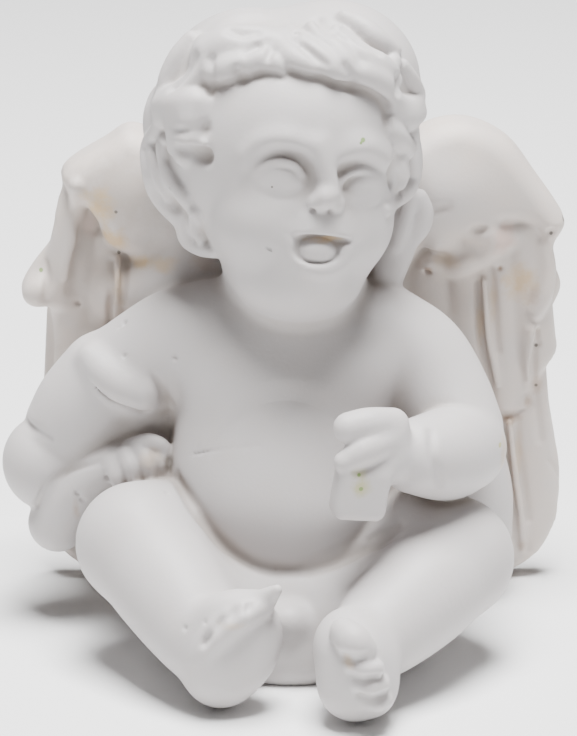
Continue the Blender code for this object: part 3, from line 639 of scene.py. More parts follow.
WING_GROOVES = (
    ([(478, 284, 0.25), (480, 310, 0.4), (482, 338, 0.4), (488, 368, 0.3),
      (492, 396, 0.2)], 0.5),
    ([(491, 270, 0.3), (493, 296, 0.4), (495, 325, 0.3), (498, 352, 0.2)], 0.5),
    ([(501, 417, 0.3), (504, 445, 0.4), (508, 480, 0.35), (513, 515, 0.3),
      (516, 548, 0.2)], 0.5),
    ([(517, 418, 0.3), (518, 445, 0.35), (523, 480, 0.3), (528, 520, 0.2)], 0.5),
    ([(490, 410, 0.25), (500, 414, 0.45), (512, 415, 0.45), (525, 410, 0.25)], 0.4),
    ([(549, 460, 0.12), (556, 470, 0.2), (563, 484, 0.15)], 0.4),
    ([(536, 330, 0.2), (533, 365, 0.3), (536, 400, 0.3), (541, 440, 0.2)], 0.7),
    ([(527, 395, 0.3), (531, 404, 0.35)], 0.5),
    ([(111, 262, 0.25), (111, 290, 0.35), (110, 325, 0.25)], 0.5),
    ([(125, 258, 0.3), (124, 285, 0.35), (124, 305, 0.3)], 0.5),
    ([(84, 205, 0.2, 0.1), (82, 235, 0.25, 0.1), (76, 262, 0.2, 0.1), (72, 290, 0.15, 0.1)], 1.2),
    ([(46, 262, 0.25), (47, 280, 0.3), (46, 298, 0.25)], 0.6),
    ([(428, 270, 0.35, 0.1)], 0.4),
    ([(474, 230, 0.3, 0.1), (482, 229, 0.3, 0.1)], 0.8),
    ([(436, 211, 0.3, 0.1), (446, 209, 0.3, 0.1)], 0.9),
    ([(448, 241, 0.2), (465, 241, 0.35), (482, 236, 0.25)], 0.9),
    ([(500, 268, 0.25)], 0.3),
    ([(538, 345, 0.3)], 0.3),
    ([(552, 232, 0.4)], 0.5),
)


# Root of the left wing in x, y, z, radius, and the ball behind it
WING_ROOT = ((3.0, 8.0, 28.0, 3.4), (8.0, 11.0, 35.0, 4.2), (12.0, 12.4, 40.0, 4.2))
WING_BACK = ((7.0, 11.0, 20.0), (5.0, 3.2, 14.0))
# Lobe on the right wing's ragged edge
LOBE = [(-21.2, 11.8, 38.0, 1.3), (-21.8, 11.8, 34.0, 1.4), (-22.0, 12.0, 30.0, 1.2)]
LOBE_END = ((-24.0, 12.0, 30.6), (2.0, 1.7, 1.6), (0, -30, 0))
# Shallow ground between the right dome, the shoulder and the feathers: rows of px, py, y, radius
RIGHT_GROUND = [(120, 292, 10.9, 2.2), (144, 287, 9.8, 2.4), (174, 282, 8.9, 2.6), (210, 280, 8.2, 2.7)]
# Balls in the nooks at the ends of the domes
NOOK_FILLS = (
    (at_depth(122, 262, 11.6), 1.3, UNTURNED, 1.2),
    (at_depth(503, 235, 10.4), 1.3, UNTURNED, 1.2),
    (at_depth(72, 200, 12.4), 1.2, UNTURNED, 1.4),
)
# Sheet of a wing: y of its middle at one x and z, how it bends back to the sides and leans forward upwards
WING_Y = 12.9
WING_X = 14
WING_Z = 20
WING_BEND = 0.006
WING_LEAN = 0.01
WING_HALF = 1.5
# Dome: y of its middle, half thickness at its edge, and a swelling with its place and spread in x and z
DOME_Y = 11.6
DOME_HALF = 2.0
DOME_SWELL = 2.6
DOME_Z = 41
DOME_SPREAD = (7.5, 5.5)
# Feather: points along it, share at which its tip starts and the tip's share, least square of the tip's
# width, width at the root, and how far its tip leans out in front of and behind the wing
FEATHER_POINTS = 9
TIP_START = 0.8
TIP_SHARE = 0.21
TIP_LEAST = 0.04
ROOT_WIDTH = 0.8
ROOT_GROWTH = 0.2
BACK_FROM_Y = 13
FRONT_LEAN = 0.8
BACK_LEAN = 0.2


def wing_middle(x, z):
    return WING_Y + WING_BEND * (np.abs(x) - WING_X) ** 2 - WING_LEAN * (z - WING_Z)


def wing_half(x, z):
    return np.full_like(x, WING_HALF)


def dome_middle(x, z):
    return np.full_like(x, DOME_Y)


def dome_half(x, z):
    wide, high = DOME_SPREAD
    away = ((np.abs(x) - WING_X) / wide) ** 2 + ((z - DOME_Z) / high) ** 2
    return DOME_HALF + DOME_SWELL * np.exp(-away)


def feather(row, thick):
    """Blade of nearly straight sides and a round tip that leans out of the wing towards its tip."""
    root_x, root_z, tip_x, tip_z, wide, y = row
    lean = FRONT_LEAN if y < BACK_FROM_Y else BACK_LEAN
    rows = []
    for t in np.linspace(0, 1, FEATHER_POINTS):
        width = wide * (ROOT_WIDTH + ROOT_GROWTH * t)
        if t >= TIP_START:
            width = wide * math.sqrt(max(1 - ((t - TIP_START) / TIP_SHARE) ** 2, TIP_LEAST))
        x, z = root_x + (tip_x - root_x) * t, root_z + (tip_z - root_z) * t
        rows.append((x, y + lean * t, z, width, thick))
    return Blade(rows)


def wing(clay, side, outline, dome, rows):
    clay.add(Limb([(side * x, y, z, radius) for x, y, z, radius in WING_ROOT], 8), 1.5)
    clay.add(Sheet(outline, wing_middle, wing_half, 1.2), 0.8)
    clay.add(Sheet(dome, dome_middle, dome_half, 1.9), 0.8)
    for row in rows:
        clay.add(feather(row, 1.1), 0.4)
    (x, y, z), radii = WING_BACK
    clay.add(Ball((side * x, y, z), radii), 1.5)
    for x, z, tip_x, tip_z, wide, y in BACK_FEATHERS:
        clay.add(feather((side * x, z, side * tip_x, tip_z, wide, y), 1.0), 0.3)


def wings_alone(clay):
    wing(clay, 1, LEFT_WING, LEFT_DOME, LEFT_FEATHERS)
    wing(clay, -1, RIGHT_WING, RIGHT_DOME, RIGHT_FEATHERS)
    clay.add(Limb(LOBE), 0.9)
    clay.add(Ball(*LOBE_END), 1.0)
    clay.add(Limb(depth_rows(RIGHT_GROUND)), 2.4)
    add_balls(clay, NOOK_FILLS)


def wing_places():
    return laid_on(wings_alone, WINGS_BEHIND, [rows for rows, _ in WING_RIBS + WING_GROOVES])


def wings(clay, places):
    wings_alone(clay)
    dress(clay, places, WING_RIBS, WING_GROOVES)


# Head. Skull in the head's own frame: balls as for the body

SKULL = (
    ((0, 1.0, 1.6), (10.4, 11.6, 10.8), UNTURNED, 0.5),
    ((0.5, -1.6, -5.2), (8.0, 8.6, 7.4), UNTURNED, 2.5),
    ((0.4, -3.8, -10.4), (5.8, 5.4, 3.8), UNTURNED, 2.0),
    ((-3.5, -5.0, -4.8), (4.3, 4.6, 4.4), UNTURNED, 2.0),
    ((4.1, -5.0, -4.8), (4.3, 4.6, 4.4), UNTURNED, 2.0),
    ((0.2, -7.2, -9.2), (2.8, 2.8, 2.5), UNTURNED, 1.6),
    ((0, -2.6, 3.2), (9.0, 8.7, 8.4), UNTURNED, 2.5),
)
# Face: rows of px, py, radius, lift over the skull. The parts of an eye come in the order of their blends
EYE_BLENDS = {"brow": 1.6, "socket": 1.6, "corner": 1.0, "ball": 0.8, "lower": 1.0, "upper": 0.7}
EYES = (
    {"turn": (-10, 8, 4), "hollow": (3.1, 1.45, 2.0), "globe": (2.5, 2.2, 1.7),
     "brow": [(252, 156, 0.8, -0.75), (267, 147, 0.9, -0.65), (284, 144, 0.9, -0.65), (300, 148, 0.8, -0.7)],
     "socket": [(284, 171, 0, 0.35)], "corner": [(303, 172, 0.5)], "ball": [(281, 175, 0, -2.35)],
     "lower": [(262, 183, 0.15, -0.5), (273, 188, 0.2, -0.45), (286, 189, 0.2, -0.45),
               (298, 186, 0.15, -0.5)],
     "upper": [(256, 177, 0.15, -0.35), (263, 169, 0.25, -0.35), (273, 163, 0.28, -0.4),
               (285, 162, 0.28, -0.45), (296, 166, 0.25, -0.55), (303, 175, 0.15, -0.7)]},
    {"turn": (-10, 8, 24), "hollow": (2.5, 1.15, 1.75), "globe": (2.2, 2.0, 1.55),
     "brow": [(344, 155, 0.8, -0.95), (354, 149, 0.9, -0.85), (367, 149, 0.9, -0.8), (380, 156, 0.8, -0.8)],
     "socket": [(357, 182, 0, 0.8)], "corner": [(341, 187, 0.15, 0.2)], "ball": [(358, 185, 0, -2.4)],
     "lower": [(341, 196, 0.15, -0.45), (351, 200, 0.2, -0.45), (362, 201, 0.2, -0.45),
               (373, 197, 0.15, -0.45)],
     "upper": [(337, 188, 0.15, -0.5), (343, 179, 0.24, -0.45), (351, 173, 0.28, -0.4),
               (361, 170, 0.28, -0.4), (370, 172, 0.24, -0.4), (379, 178, 0.15, -0.4)]},
)
NOSE_AND_MOUTH = {
    "nose": [(319, 146, 0.7, -0.6), (324, 162, 0.6, -0.15), (329, 178, 0.65, 0.25), (330, 192, 0.8, 0.6)],
    "upper lip": [(294, 240, 0.25, -0.1), (303, 234, 0.42, 0.1), (313, 231, 0.5, 0.25),
                  (322, 233, 0.45, 0.25), (332, 232, 0.5, 0.25), (343, 236, 0.42, 0.1),
                  (353, 243, 0.25, -0.1)],
    "lower lip": [(298, 256, 0.3, -0.1), (308, 267, 0.42, 0.1), (322, 270, 0.5, 0.2),
                  (336, 266, 0.42, 0.1), (346, 254, 0.3, -0.1)],
    "muzzle": [(321, 248, 0, 0)],
    "under nose": [(322, 220, 0, -0.6)],
    "tongue": [(317, 250, 0, -0.45)],
    "slit": [(322, 240, 0, 0.3)],
    "opening": [(317, 250, 0, 0.2)],
}
NOSE_BALLS = ([(326, 198, 0.95, 0.9)], [(315, 203, 0.6, 0.45)], [(337, 204, 0.6, 0.4)])
NOSTRILS = ([(313, 209, 0.25, 0.5)], [(329, 211, 0.12, 0.75)])
UNDER_NOSE_RADII = (1.9, 1.2, 1.0)
MUZZLE_RADII = (3.2, 1.7, 2.6)
MUZZLE_SINKS = (0, 1.2, 0)
SLIT_RADII = (2.7, 0.8, 0.45)
OPENING_RADII = (2.1, 0.9, 1.3)
TONGUE_RADII = (1.75, 1.15, 1.1)


def skull(clay):
    clay.set_frame(HEAD_TURN, HEAD_AT)
    add_balls(clay, SKULL)
    clay.set_frame()


def face_places():
    """All the lines and spots of the face, laid on the skull at one go."""
    eyes = [eye[name] for eye in EYES for name in EYE_BLENDS]
    return laid_on(skull, HEAD_MIDDLE, [*eyes, *NOSE_AND_MOUTH.values(), *NOSE_BALLS, *NOSTRILS])


def face(clay, places):
    """Soft sockets, eyeballs under two lids, a small nose, and an open mouth between soft lips."""
    rest = iter(places)
    for eye in EYES:
        part = {name: next(rest) for name in EYE_BLENDS}
        clay.add(Limb(part["brow"]), EYE_BLENDS["brow"])
        clay.cut(ball_at(part["socket"], eye["hollow"], eye["turn"]), EYE_BLENDS["socket"])
        clay.cut(spot_or_limb(part["corner"]), EYE_BLENDS["corner"])
        clay.add(ball_at(part["ball"], eye["globe"], eye["turn"]), EYE_BLENDS["ball"])
        for lid in ("lower", "upper"):
            clay.add(Limb(part[lid]), EYE_BLENDS[lid])
    part = {name: next(rest) for name in NOSE_AND_MOUTH}
    clay.add(Limb(part["nose"]), 1.3)
    clay.add(ball_at(part["under nose"], UNDER_NOSE_RADII, HEAD_TURN), 1.4)
    for _ in NOSE_BALLS:
        clay.add(spot_or_limb(next(rest)), 0.7)
    for _ in NOSTRILS:
        clay.cut(spot_or_limb(next(rest)), 0.4)
    clay.add(ball_at(part["muzzle"] + (*MUZZLE_SINKS, 0), MUZZLE_RADII, HEAD_TURN), 1.8)
    clay.add(Limb(part["upper lip"]), 0.8)
    clay.add(Limb(part["lower lip"]), 0.9)
    clay.cut(ball_at(part["slit"], SLIT_RADII, HEAD_TURN), 0.6)
    clay.cut(ball_at(part["opening"], OPENING_RADII, HEAD_TURN), 0.7)
    clay.add(ball_at(part["tongue"], TONGUE_RADII, HEAD_TURN), 0.5)


# Hair. Openings of the cap for the face and the nape, and the crown over it, in the head's own frame
FACE_GAP = ((0, -15.0, -4.2), (9.2, 11.8, 11.4))
NAPE_GAP = ((0, -4.0, -14.5), (16.0, 14.0, 8.0), 3.0)
CROWN = ((3.4, 0.0, 8.4), (7.4, 8.6, 6.3))
# Mounds: px, py, y, radius, blend
MOUNDS = (
    (240, 86, 2.0, 6.9, 2.5), (333, 85, 1.5, 7.5, 2.5), (205, 110, 1.5, 4.8, 1.5), (390, 108, 1.5, 3.0, 1.5),
    (188, 165, 1.5, 3.6, 1.0), (203, 215, 1.2, 2.4, 1.0), (399, 150, 1.5, 2.0, 1.0),
)
# Strands: rows of px, py, radius, lift over the cap and its mounds, and the blend
STRANDS = (
    # fringe, from the parting to the right side of the head
    ([(278, 45, 1.4), (255, 46, 1.9, -0.2), (232, 48, 2.1, -0.3), (212, 54, 1.9, -0.4)], 1.4),
    ([(284, 72, 0.35, 0.5), (277, 64, 0.9, 0.8), (262, 60, 1.15, 0.9), (246, 64, 1.2, 0.9),
      (230, 68, 1.25, 0.9), (216, 71, 1.15, 0.7), (208, 62, 1.0, 0.3)], 0.7),
    # fringe, from the parting to the left side
    ([(275, 36, 0.6, 0.3), (282, 47, 0.95, 0.9), (293, 58, 1.1, 1.2), (308, 65, 0.9, 1.2),
      (318, 70, 0.5, 0.9)], 0.4),
    ([(290, 33, 0.8, 0.3), (304, 46, 1.1, 0.8), (320, 58, 1.2, 1.2), (334, 69, 1.0, 1.3),
      (342, 76, 0.5, 1.0)], 0.4),
    ([(313, 30, 0.9, 0.1), (328, 44, 1.2, 0.7), (342, 60, 1.3, 1.1), (351, 73, 1.0, 1.2)], 0.4),
    ([(338, 34, 0.9, 0.1), (352, 48, 1.2, 0.6), (366, 60, 1.35, 0.9), (382, 68, 1.2, 0.8),
      (393, 80, 0.9, 0.5)], 0.4),
    ([(352, 74, 0.8, 1.0), (366, 74, 1.2, 1.2), (380, 82, 1.25, 1.1), (390, 94, 1.0, 0.8)], 0.45),
    ([(345, 18, 0.8, -0.1), (362, 28, 1.1, 0.2), (377, 40, 1.1, 0.3), (393, 50, 0.8, 0.2)], 0.5),
    # ring curl and lobes at the left temple
    ([(393, 62, 0.8, 0.5), (387, 80, 0.8, 0.8), (392, 98, 0.9, 0.8), (406, 106, 1.0, 0.5),
      (416, 96, 0.9, 0.2), (411, 80, 0.8, 0.1), (402, 66, 0.7, 0.2)], 0.35),
    ([(391, 106, 0.7, 0.3), (403, 116, 1.4, 0.4), (413, 112, 1.3, 0.1)], 0.5),
    ([(390, 122, 0.6, 0.2), (396, 136, 1.1, 0.3), (405, 148, 1.1)], 0.5),
    ([(408, 133, 1.0, -0.2), (412, 155, 1.0, -0.2), (411, 175, 1.0), (405, 190, 1.0, 0.3),
      (395, 200, 0.8, 0.3), (386, 210, 0.5, 0.1)], 0.4),
    ([(399, 158, 0.7, 0.3), (403, 172, 0.7, 0.3), (400, 184, 0.6, 0.4)], 0.4),
    # side of the head on the right: a long lock with a groove, the curl over the ear
    ([(206, 44, 1.0, 0.2), (203, 58, 1.1, 0.5), (198, 72, 1.1, 0.7), (188, 86, 1.1, 0.6),
      (174, 94, 0.9, 0.3), (163, 96, 0.7, -0.1)], 0.4),
    ([(192, 40, 0.9, -0.1), (181, 54, 1.0), (173, 68, 1.0), (167, 82, 0.9, -0.2),
      (165, 93, 0.6, -0.2)], 0.5),
    ([(205, 104, 0.8, -0.1), (195, 103, 1.4, 0.5), (180, 105, 1.7, 0.7), (166, 106, 1.4, 0.3)], 0.6),
    ([(204, 114, 0.7, -0.2), (190, 115, 1.1, 0.6), (175, 117, 1.2, 0.6), (162, 119, 0.9, 0.1)], 0.6),
    ([(158, 134, 0.5, -0.2), (168, 139, 0.6, 0.1), (186, 142, 0.6, 0.2), (204, 144, 0.45)], 0.4),
    # curls below the right ear
    ([(160, 126, 0.8, -0.4), (151, 147, 1.0, -0.2), (153, 170, 1.1), (159, 190, 1.15, 0.1),
      (170, 206, 1.1, 0.3), (181, 218, 0.8, 0.3)], 0.35),
    ([(164, 146, 0.8, 0.2), (165, 163, 0.9, 0.4), (174, 180, 0.95, 0.5), (184, 194, 0.9, 0.6),
      (190, 206, 0.6, 0.5)], 0.35),
    ([(184, 214, 0.7, 0.5), (185, 228, 0.9, 0.4), (190, 239, 1.0, 0.4), (202, 246, 1.0, 0.4),
      (214, 251, 0.7, 0.2)], 0.35),
    ([(196, 212, 0.7, 0.6), (197, 226, 0.8, 0.6), (203, 236, 0.8, 0.5)], 0.4),
)
# Grooves and dents in the hair, in the same rows
HAIR_GROOVES = (
    ([(344, 28, 0.2), (362, 40, 0.5), (379, 52, 0.3)], 0.6),
    ([(194, 57, 0.3), (185, 72, 0.5), (173, 86, 0.35)], 0.7),
    ([(245, 53, 0.25), (258, 46, 0.3)], 0.5),
    ([(267, 60, 0.2), (271, 50, 0.3)], 0.5),
    ([(399, 80, 0.5), (399, 90, 0.5)], 0.6),
    ([(178, 150, 0.5, -0.1), (190, 153, 0.8, -0.2), (205, 156, 0.9, -0.2)], 0.6),
    ([(172, 131, 0.15, 0.05), (190, 130, 0.25, 0.05), (206, 129, 0.2, 0.05)], 0.9),
    ([(211, 60, 0.3), (210, 75, 0.4), (211, 92, 0.3)], 0.6),
    ([(391, 166, 0.5), (392, 182, 0.5)], 0.6),
    ([(302, 46, 0.2), (314, 56, 0.35), (326, 64, 0.2)], 0.5),
    ([(297, 33, 0.3)], 0.4),
    ([(283, 76, 0.25, 0.1), (272, 73, 0.2, 0.15), (258, 75, 0.3, 0.1), (243, 79, 0.2, 0.2),
      (228, 83, 0.25, 0.1), (214, 86, 0.2, 0.1)], 0.6),
    ([(291, 71, 0.25, 0.1), (310, 75, 0.25, 0.1), (330, 82, 0.3, 0.1), (350, 88, 0.35),
      (368, 91, 0.35), (384, 103, 0.35), (388, 122, 0.3)], 0.6),
    ([(236, 70, 0.25, 0.05), (242, 79, 0.35)], 0.8),
    ([(345, 66, 0.2), (352, 78, 0.35), (352, 88, 0.3)], 0.6),
    ([(230, 30, 0.15), (242, 34, 0.25), (256, 32, 0.15)], 0.9),
    ([(318, 20, 0.15), (326, 30, 0.25), (340, 36, 0.15)], 0.9),
    ([(154, 150, 0.15, 0.1), (156, 172, 0.2, 0.1), (164, 192, 0.2, 0.1), (176, 208, 0.15, 0.1)], 0.8),
    ([(192, 222, 0.15, 0.05), (198, 234, 0.15, 0.05)], 0.7),
)
# Lock behind the left cheek: rows of px, py, y, radius
NAPE_LOCKS = (
    [(418, 199, 4.0, 1.0), (422, 212, 4.2, 1.1), (418, 226, 4.2, 1.2), (407, 241, 4.0, 1.1),
     (400, 259, 3.6, 0.9), (395, 275, 3.2, 0.6)],
    [(410, 198, 3.0, 0.7), (407, 212, 3.0, 0.7), (402, 228, 3.0, 0.8), (396, 246, 2.8, 0.7)],
    [(398, 222, 4.6, 1.7), (393, 250, 4.4, 1.7)],
    [(400, 236, 4.6, 1.5), (391, 262, 4.0, 1.7), (384, 284, 3.4, 1.6)],
)
# Rows of locks over the crown, back and nape: elevation, locks all the way round, length, and the
# azimuth either side of the face that stays clear
LOCK_ROWS = ((58, 9, 26, 62), (34, 12, 26, 62), (10, 14, 26, 74), (-14, 12, 24, 105), (-36, 9, 20, 105))
LOCK_ROW_SEED = 5
LOCK_STRANDS = 2
LOCK_POINTS = 5
LOCK_LIFT = -0.25
LOCK_BENDS = (8, 16)
LOCK_RADII = (1.25, 1.55)
LOCK_STARTS_ABOVE = 8
LOCK_WAVE = 2.6


def on_hair(azimuth, elevation):
    """Point just under the cap of hair."""
    a, e = math.radians(azimuth), math.radians(elevation)
    direction = np.array([math.sin(a) * math.cos(e), -math.cos(a) * math.cos(e), math.sin(e)])
    return HAIR_CENTRE + direction * (HAIR_RADII + LOCK_LIFT)


def lock(clay, angles, radius):
    """Strands side by side along one line on the cap, thickest in the middle."""
    path = [on_hair(azimuth, elevation) for azimuth, elevation in angles]
    last = len(path) - 1
    for strand in range(LOCK_STRANDS):
        offset = (strand - (LOCK_STRANDS - 1) / 2) * radius
        rows = []
        for i, place in enumerate(path):
            swell = 0.5 + 0.55 * math.sin(math.pi * (0.15 + 0.75 * i / last))
            along = unit(path[min(i + 1, last)] - path[max(i - 1, 0)])
            outward = unit((place - HAIR_CENTRE) / HAIR_RADII**2)
            across = np.cross(along, outward)
            rise = 0.25 * radius * swell - 0.1 * abs(offset)
            point = place + across * offset * (0.5 + 0.5 * swell) + outward * rise
            rows.append((*point, radius * swell))
        clay.add(Limb(rows, 4), 0.5)


def hair_cap(clay):
    """Cap with an opening for the face and the neck, and soft mounds."""
    clay.set_frame(HEAD_TURN, HEAD_AT)
    clay.add(Carved(Ball(HAIR_CENTRE, HAIR_RADII), [Ball(*FACE_GAP), Block(*NAPE_GAP)], 1.0), 0.4)
    clay.add(Ball(*CROWN), 1.5)
    clay.set_frame()
    for px, py, y, radius, blend in MOUNDS:
        clay.add(Ball(at_depth(px, py, y), radius), blend)


def back_locks(clay):
    """Rows of locks all round the head, clear of the face."""
    rng = np.random.default_rng(LOCK_ROW_SEED)
    clay.set_frame(HEAD_TURN, HEAD_AT)
    for elevation, count, length, clear_of_face in LOCK_ROWS:
        for k in range(count):
            azimuth = (360.0 * (k + 0.5 * rng.random()) / count + 180.0) % 360.0 - 180.0
            bend = rng.uniform(*LOCK_BENDS) * rng.choice((-1, 1))
            radius = rng.uniform(*LOCK_RADII)
            if abs(azimuth) < clear_of_face:
                continue
            top = elevation + LOCK_STARTS_ABOVE
            widen = 1.0 / max(math.cos(math.radians(elevation - LOCK_STARTS_ABOVE)), 0.35)
            angles = [(azimuth + bend * widen * math.sin(LOCK_WAVE * t), top - length * t)
                      for t in np.linspace(0, 1, LOCK_POINTS)]
            lock(clay, angles, radius)
    clay.set_frame()


def bald_head(clay):
    skull(clay)
    hair_cap(clay)


def hair(clay, strands):
    hair_cap(clay)
    back_locks(clay)
    for rows, (_, blend) in zip(strands, STRANDS):
        clay.add(Limb(rows), blend)
    add_lines(clay, NAPE_LOCKS, 0.6)


def hair_places():
    """Strands laid on the bald head, then grooves laid on the strands."""
    strands = laid_on(bald_head, HEAD_MIDDLE, [rows for rows, _ in STRANDS])

    def combed_head(clay):
        skull(clay)
        hair(clay, strands)

    return strands, laid_on(combed_head, HEAD_MIDDLE, [rows for rows, _ in HAIR_GROOVES])


def head(clay, plan):
    strands, grooves = plan["hair"]
    skull(clay)
    face(clay, plan["face"])
    hair(clay, strands)
    dress(clay, grooves, (), HAIR_GROOVES)


def sculpt(clay, plan):
    """The whole figure, cut flat underneath."""
    body(clay, plan["body"])
    wings(clay, plan["wings"])
    head(clay, plan)
    for place, radius in plan.get("pits", ()):
        clay.cut(Ball(place, radius), 0.12)
    clay.d = np.maximum(clay.d, -clay.points[..., 2])


def lattice(step, ids, block):
    """Points of the blocks with these ids, block points along each side of a block."""
    inner = np.stack(np.meshgrid(*[np.arange(block)] * 3, indexing="ij"), -1).reshape(-1, 3)
    index = ids[:, None] * block + inner[None]
    return (np.asarray(LOW) + index * step).astype(SMALL), tuple(index.reshape(-1, 3).T)


def at_corner(field, shift):
    """The field's values at one corner of each of its cells; shift is 0 or 1 along each axis."""
    return field[tuple(slice(s, n - 1 + s) for s, n in zip(shift, field.shape))]


def worked(points, plan):
    """Distances of the whole figure at blocks of points, a share of the blocks in each thread."""
    def share(blocks):
        clay = Clay(blocks)
        sculpt(clay, plan)
        return clay.d

    with ThreadPoolExecutor(WORKERS) as pool:
        return np.concatenate(list(pool.map(share, np.array_split(points, 2 * WORKERS))))


def distances(plan):
    """The clay's distances on a fine lattice. A coarse one is worked out first, and only the blocks of the
    fine one that lie near its surface are filled; the rest keep a plain distance of the right sign."""
    ratio = int(round(COARSE_STEP / FINE_STEP))
    counts = [int(math.ceil((b - a) / COARSE_STEP / COARSE_BLOCK)) for a, b in zip(LOW, HIGH)]
    all_ids = np.stack(np.meshgrid(*[np.arange(n) for n in counts], indexing="ij"), -1).reshape(-1, 3)
    points, index = lattice(COARSE_STEP, all_ids, COARSE_BLOCK)
    coarse = np.empty([n * COARSE_BLOCK for n in counts], SMALL)
    coarse[index] = worked(points, plan).ravel()
    lowest = np.min([np.abs(at_corner(coarse, shift)) for shift in CORNERS], axis=0)
    points, index = lattice(FINE_STEP, np.argwhere(lowest < REACH), ratio)
    field = np.where(coarse < 0, SMALL(-REACH), SMALL(REACH))
    for axis in range(3):
        field = np.repeat(field, ratio, axis=axis)
    field[index] = np.clip(worked(points, plan).ravel(), -REACH, REACH)
    return field, coarse


def skin(field, low, step):
    """Closed surface where the field is zero. Each cell that the surface crosses gets one point, at the
    mean of the crossings on the cell's edges, and each crossed edge gets a face of four such points."""
    inside = field < 0
    filled = np.sum([at_corner(inside, shift) for shift in CORNERS], axis=0, dtype=np.int8)
    cells = np.argwhere((filled > 0) & (filled < len(CORNERS)))
    strides = np.array([filled.shape[1] * filled.shape[2], filled.shape[2], 1])
    cell_ids = cells @ strides
    total = np.zeros((len(cells), 3))
    crossings = np.zeros(len(cells))
    for shift in CORNERS:
        for axis in range(3):
            if shift[axis]:
                continue
            start = cells + np.array(shift)
            end = start.copy()
            end[:, axis] += 1
            a = field[tuple(start.T)].astype(float)
            b = field[tuple(end.T)].astype(float)
            crossed = (a < 0) != (b < 0)
            place = start[crossed].astype(float)
            place[:, axis] += a[crossed] / (a[crossed] - b[crossed])
            total[crossed] += place
            crossings[crossed] += 1
    points = np.asarray(low) + step * total / crossings[:, None]
    faces = []
    for axis in range(3):
        near = [slice(None)] * 3
        far = [slice(None)] * 3
        near[axis], far[axis] = slice(0, -1), slice(1, None)
        at = np.argwhere(inside[tuple(near)] != inside[tuple(far)])
        u, v = np.eye(3, dtype=int)[(axis + 1) % 3], np.eye(3, dtype=int)[(axis + 2) % 3]
        ring = [np.searchsorted(cell_ids, (at - shift) @ strides) for shift in (u + v, v, 0 * u, u)]
        ring = np.stack(ring, 1)
        outward = inside[tuple(at.T)]
        faces.append(np.where(outward[:, None], ring, ring[:, ::-1]))
    return points, np.concatenate(faces)


def new_mesh(name, points, faces):
    mesh = bpy.data.meshes.new(name)
    mesh.vertices.add(len(points))
    mesh.vertices.foreach_set("co", (points * MM).astype(SMALL).ravel())
    mesh.loops.add(faces.size)
    mesh.loops.foreach_set("vertex_index", faces.astype(np.int32).ravel())
    mesh.polygons.add(len(faces))
    mesh.polygons.foreach_set("loop_start", np.arange(0, faces.size, faces.shape[1], dtype=np.int32))
    mesh.update(calc_edges=True)
    mesh.validate()
    return mesh


def box_mean(values, radius):
    """Mean over a cube of 2 * radius + 1 points, worked out with running sums along each axis."""
    width = 2 * radius + 1
    for axis in range(3):
        pad = [(0, 0)] * 3
        pad[axis] = (radius + 1, radius)
        sums = np.cumsum(np.pad(values, pad, mode="edge"), axis=axis, dtype=SMALL)
        high = [slice(None)] * 3
        low = [slice(None)] * 3
        high[axis], low[axis] = slice(width, None), slice(0, -width)
        values = (sums[tuple(high)] - sums[tuple(low)]) / width
    return values


def sampled(values, low, step, points):
    """Values of a lattice at free points, mixed from the eight nearest."""
    place = (points - np.asarray(low)) / step
    base = np.clip(np.floor(place).astype(int), 0, np.array(values.shape) - 2)
    share = place - base
    total = 0.0
    for shift in CORNERS:
        weight = np.prod(np.where(np.array(shift), share, 1 - share), axis=1)
        total = total + weight * values[tuple((base + shift).T)]
    return total


def hollows(field, coarse, points):
    """How hollow the skin is at each point: the clay's share of a small and a large cube, past a half."""
    near = box_mean((field[::2, ::2, ::2] < 0).astype(SMALL), NEAR_HALF)
    wide = box_mean((coarse < 0).astype(SMALL), WIDE_HALF)
    return (NEAR_WEIGHT * (sampled(near, LOW, 2 * FINE_STEP, points) - 0.5)
            + WIDE_WEIGHT * (sampled(wide, LOW, COARSE_STEP, points) - 0.5))


def figurine(plan):
    """The skin as one closed mesh, thinned to fewer triangles where it is flat."""
    field, coarse = distances(plan)
    points, faces = skin(field, LOW, FINE_STEP)
    item = bpy.data.objects.new("figurine", new_mesh("figurine", points, faces))
    bpy.context.scene.collection.objects.link(item)
    if 2 * len(faces) > SKIN_TRIANGLES:
        thin = item.modifiers.new("thin", "DECIMATE")
        thin.ratio = SKIN_TRIANGLES / (2 * len(faces))
        bpy.context.view_layer.update()
        graph = bpy.context.evaluated_depsgraph_get()
        mesh = bpy.data.meshes.new_from_object(item.evaluated_get(graph), depsgraph=graph)
        item.modifiers.clear()
        item.data = mesh
    places = np.empty(3 * len(item.data.vertices), SMALL)
    item.data.vertices.foreach_get("co", places)
    # How hollow the skin is at each point; the material paints shade into the hollows from it
    values = hollows(field, coarse, places.reshape(-1, 3).astype(float) / MM)
    attribute = item.data.attributes.new("hollow", "FLOAT", "POINT")
    attribute.data.foreach_set("value", values.astype(SMALL))
    item.data.shade_smooth()
    return item


# Material

class Value:
    """A socket of a node tree on which plain arithmetic adds Math nodes."""

    def __init__(self, tree, socket):
        self.tree, self.socket = tree, socket

    def maths(self, operation, *others):
        node = self.tree.nodes.new("ShaderNodeMath")
        node.operation = operation
        for place, value in zip(node.inputs, (self, *others)):
            put(self.tree, place, value)
        return Value(self.tree, node.outputs[0])

    def __add__(self, other):
        return self.maths("ADD", other)

    def __mul__(self, other):
        return self.maths("MULTIPLY", other)

    def __sub__(self, other):
        return self.maths("SUBTRACT", other)

    def __rsub__(self, other):
        return (self * -1.0) + other

    __radd__ = __add__
    __rmul__ = __mul__

    def clipped(self):
        return self.maths("MINIMUM", 1.0).maths("MAXIMUM", 0.0)


def put(tree, place, value):
    if isinstance(value, Value):
        tree.links.new(value.socket, place)
    else:
        place.default_value = value


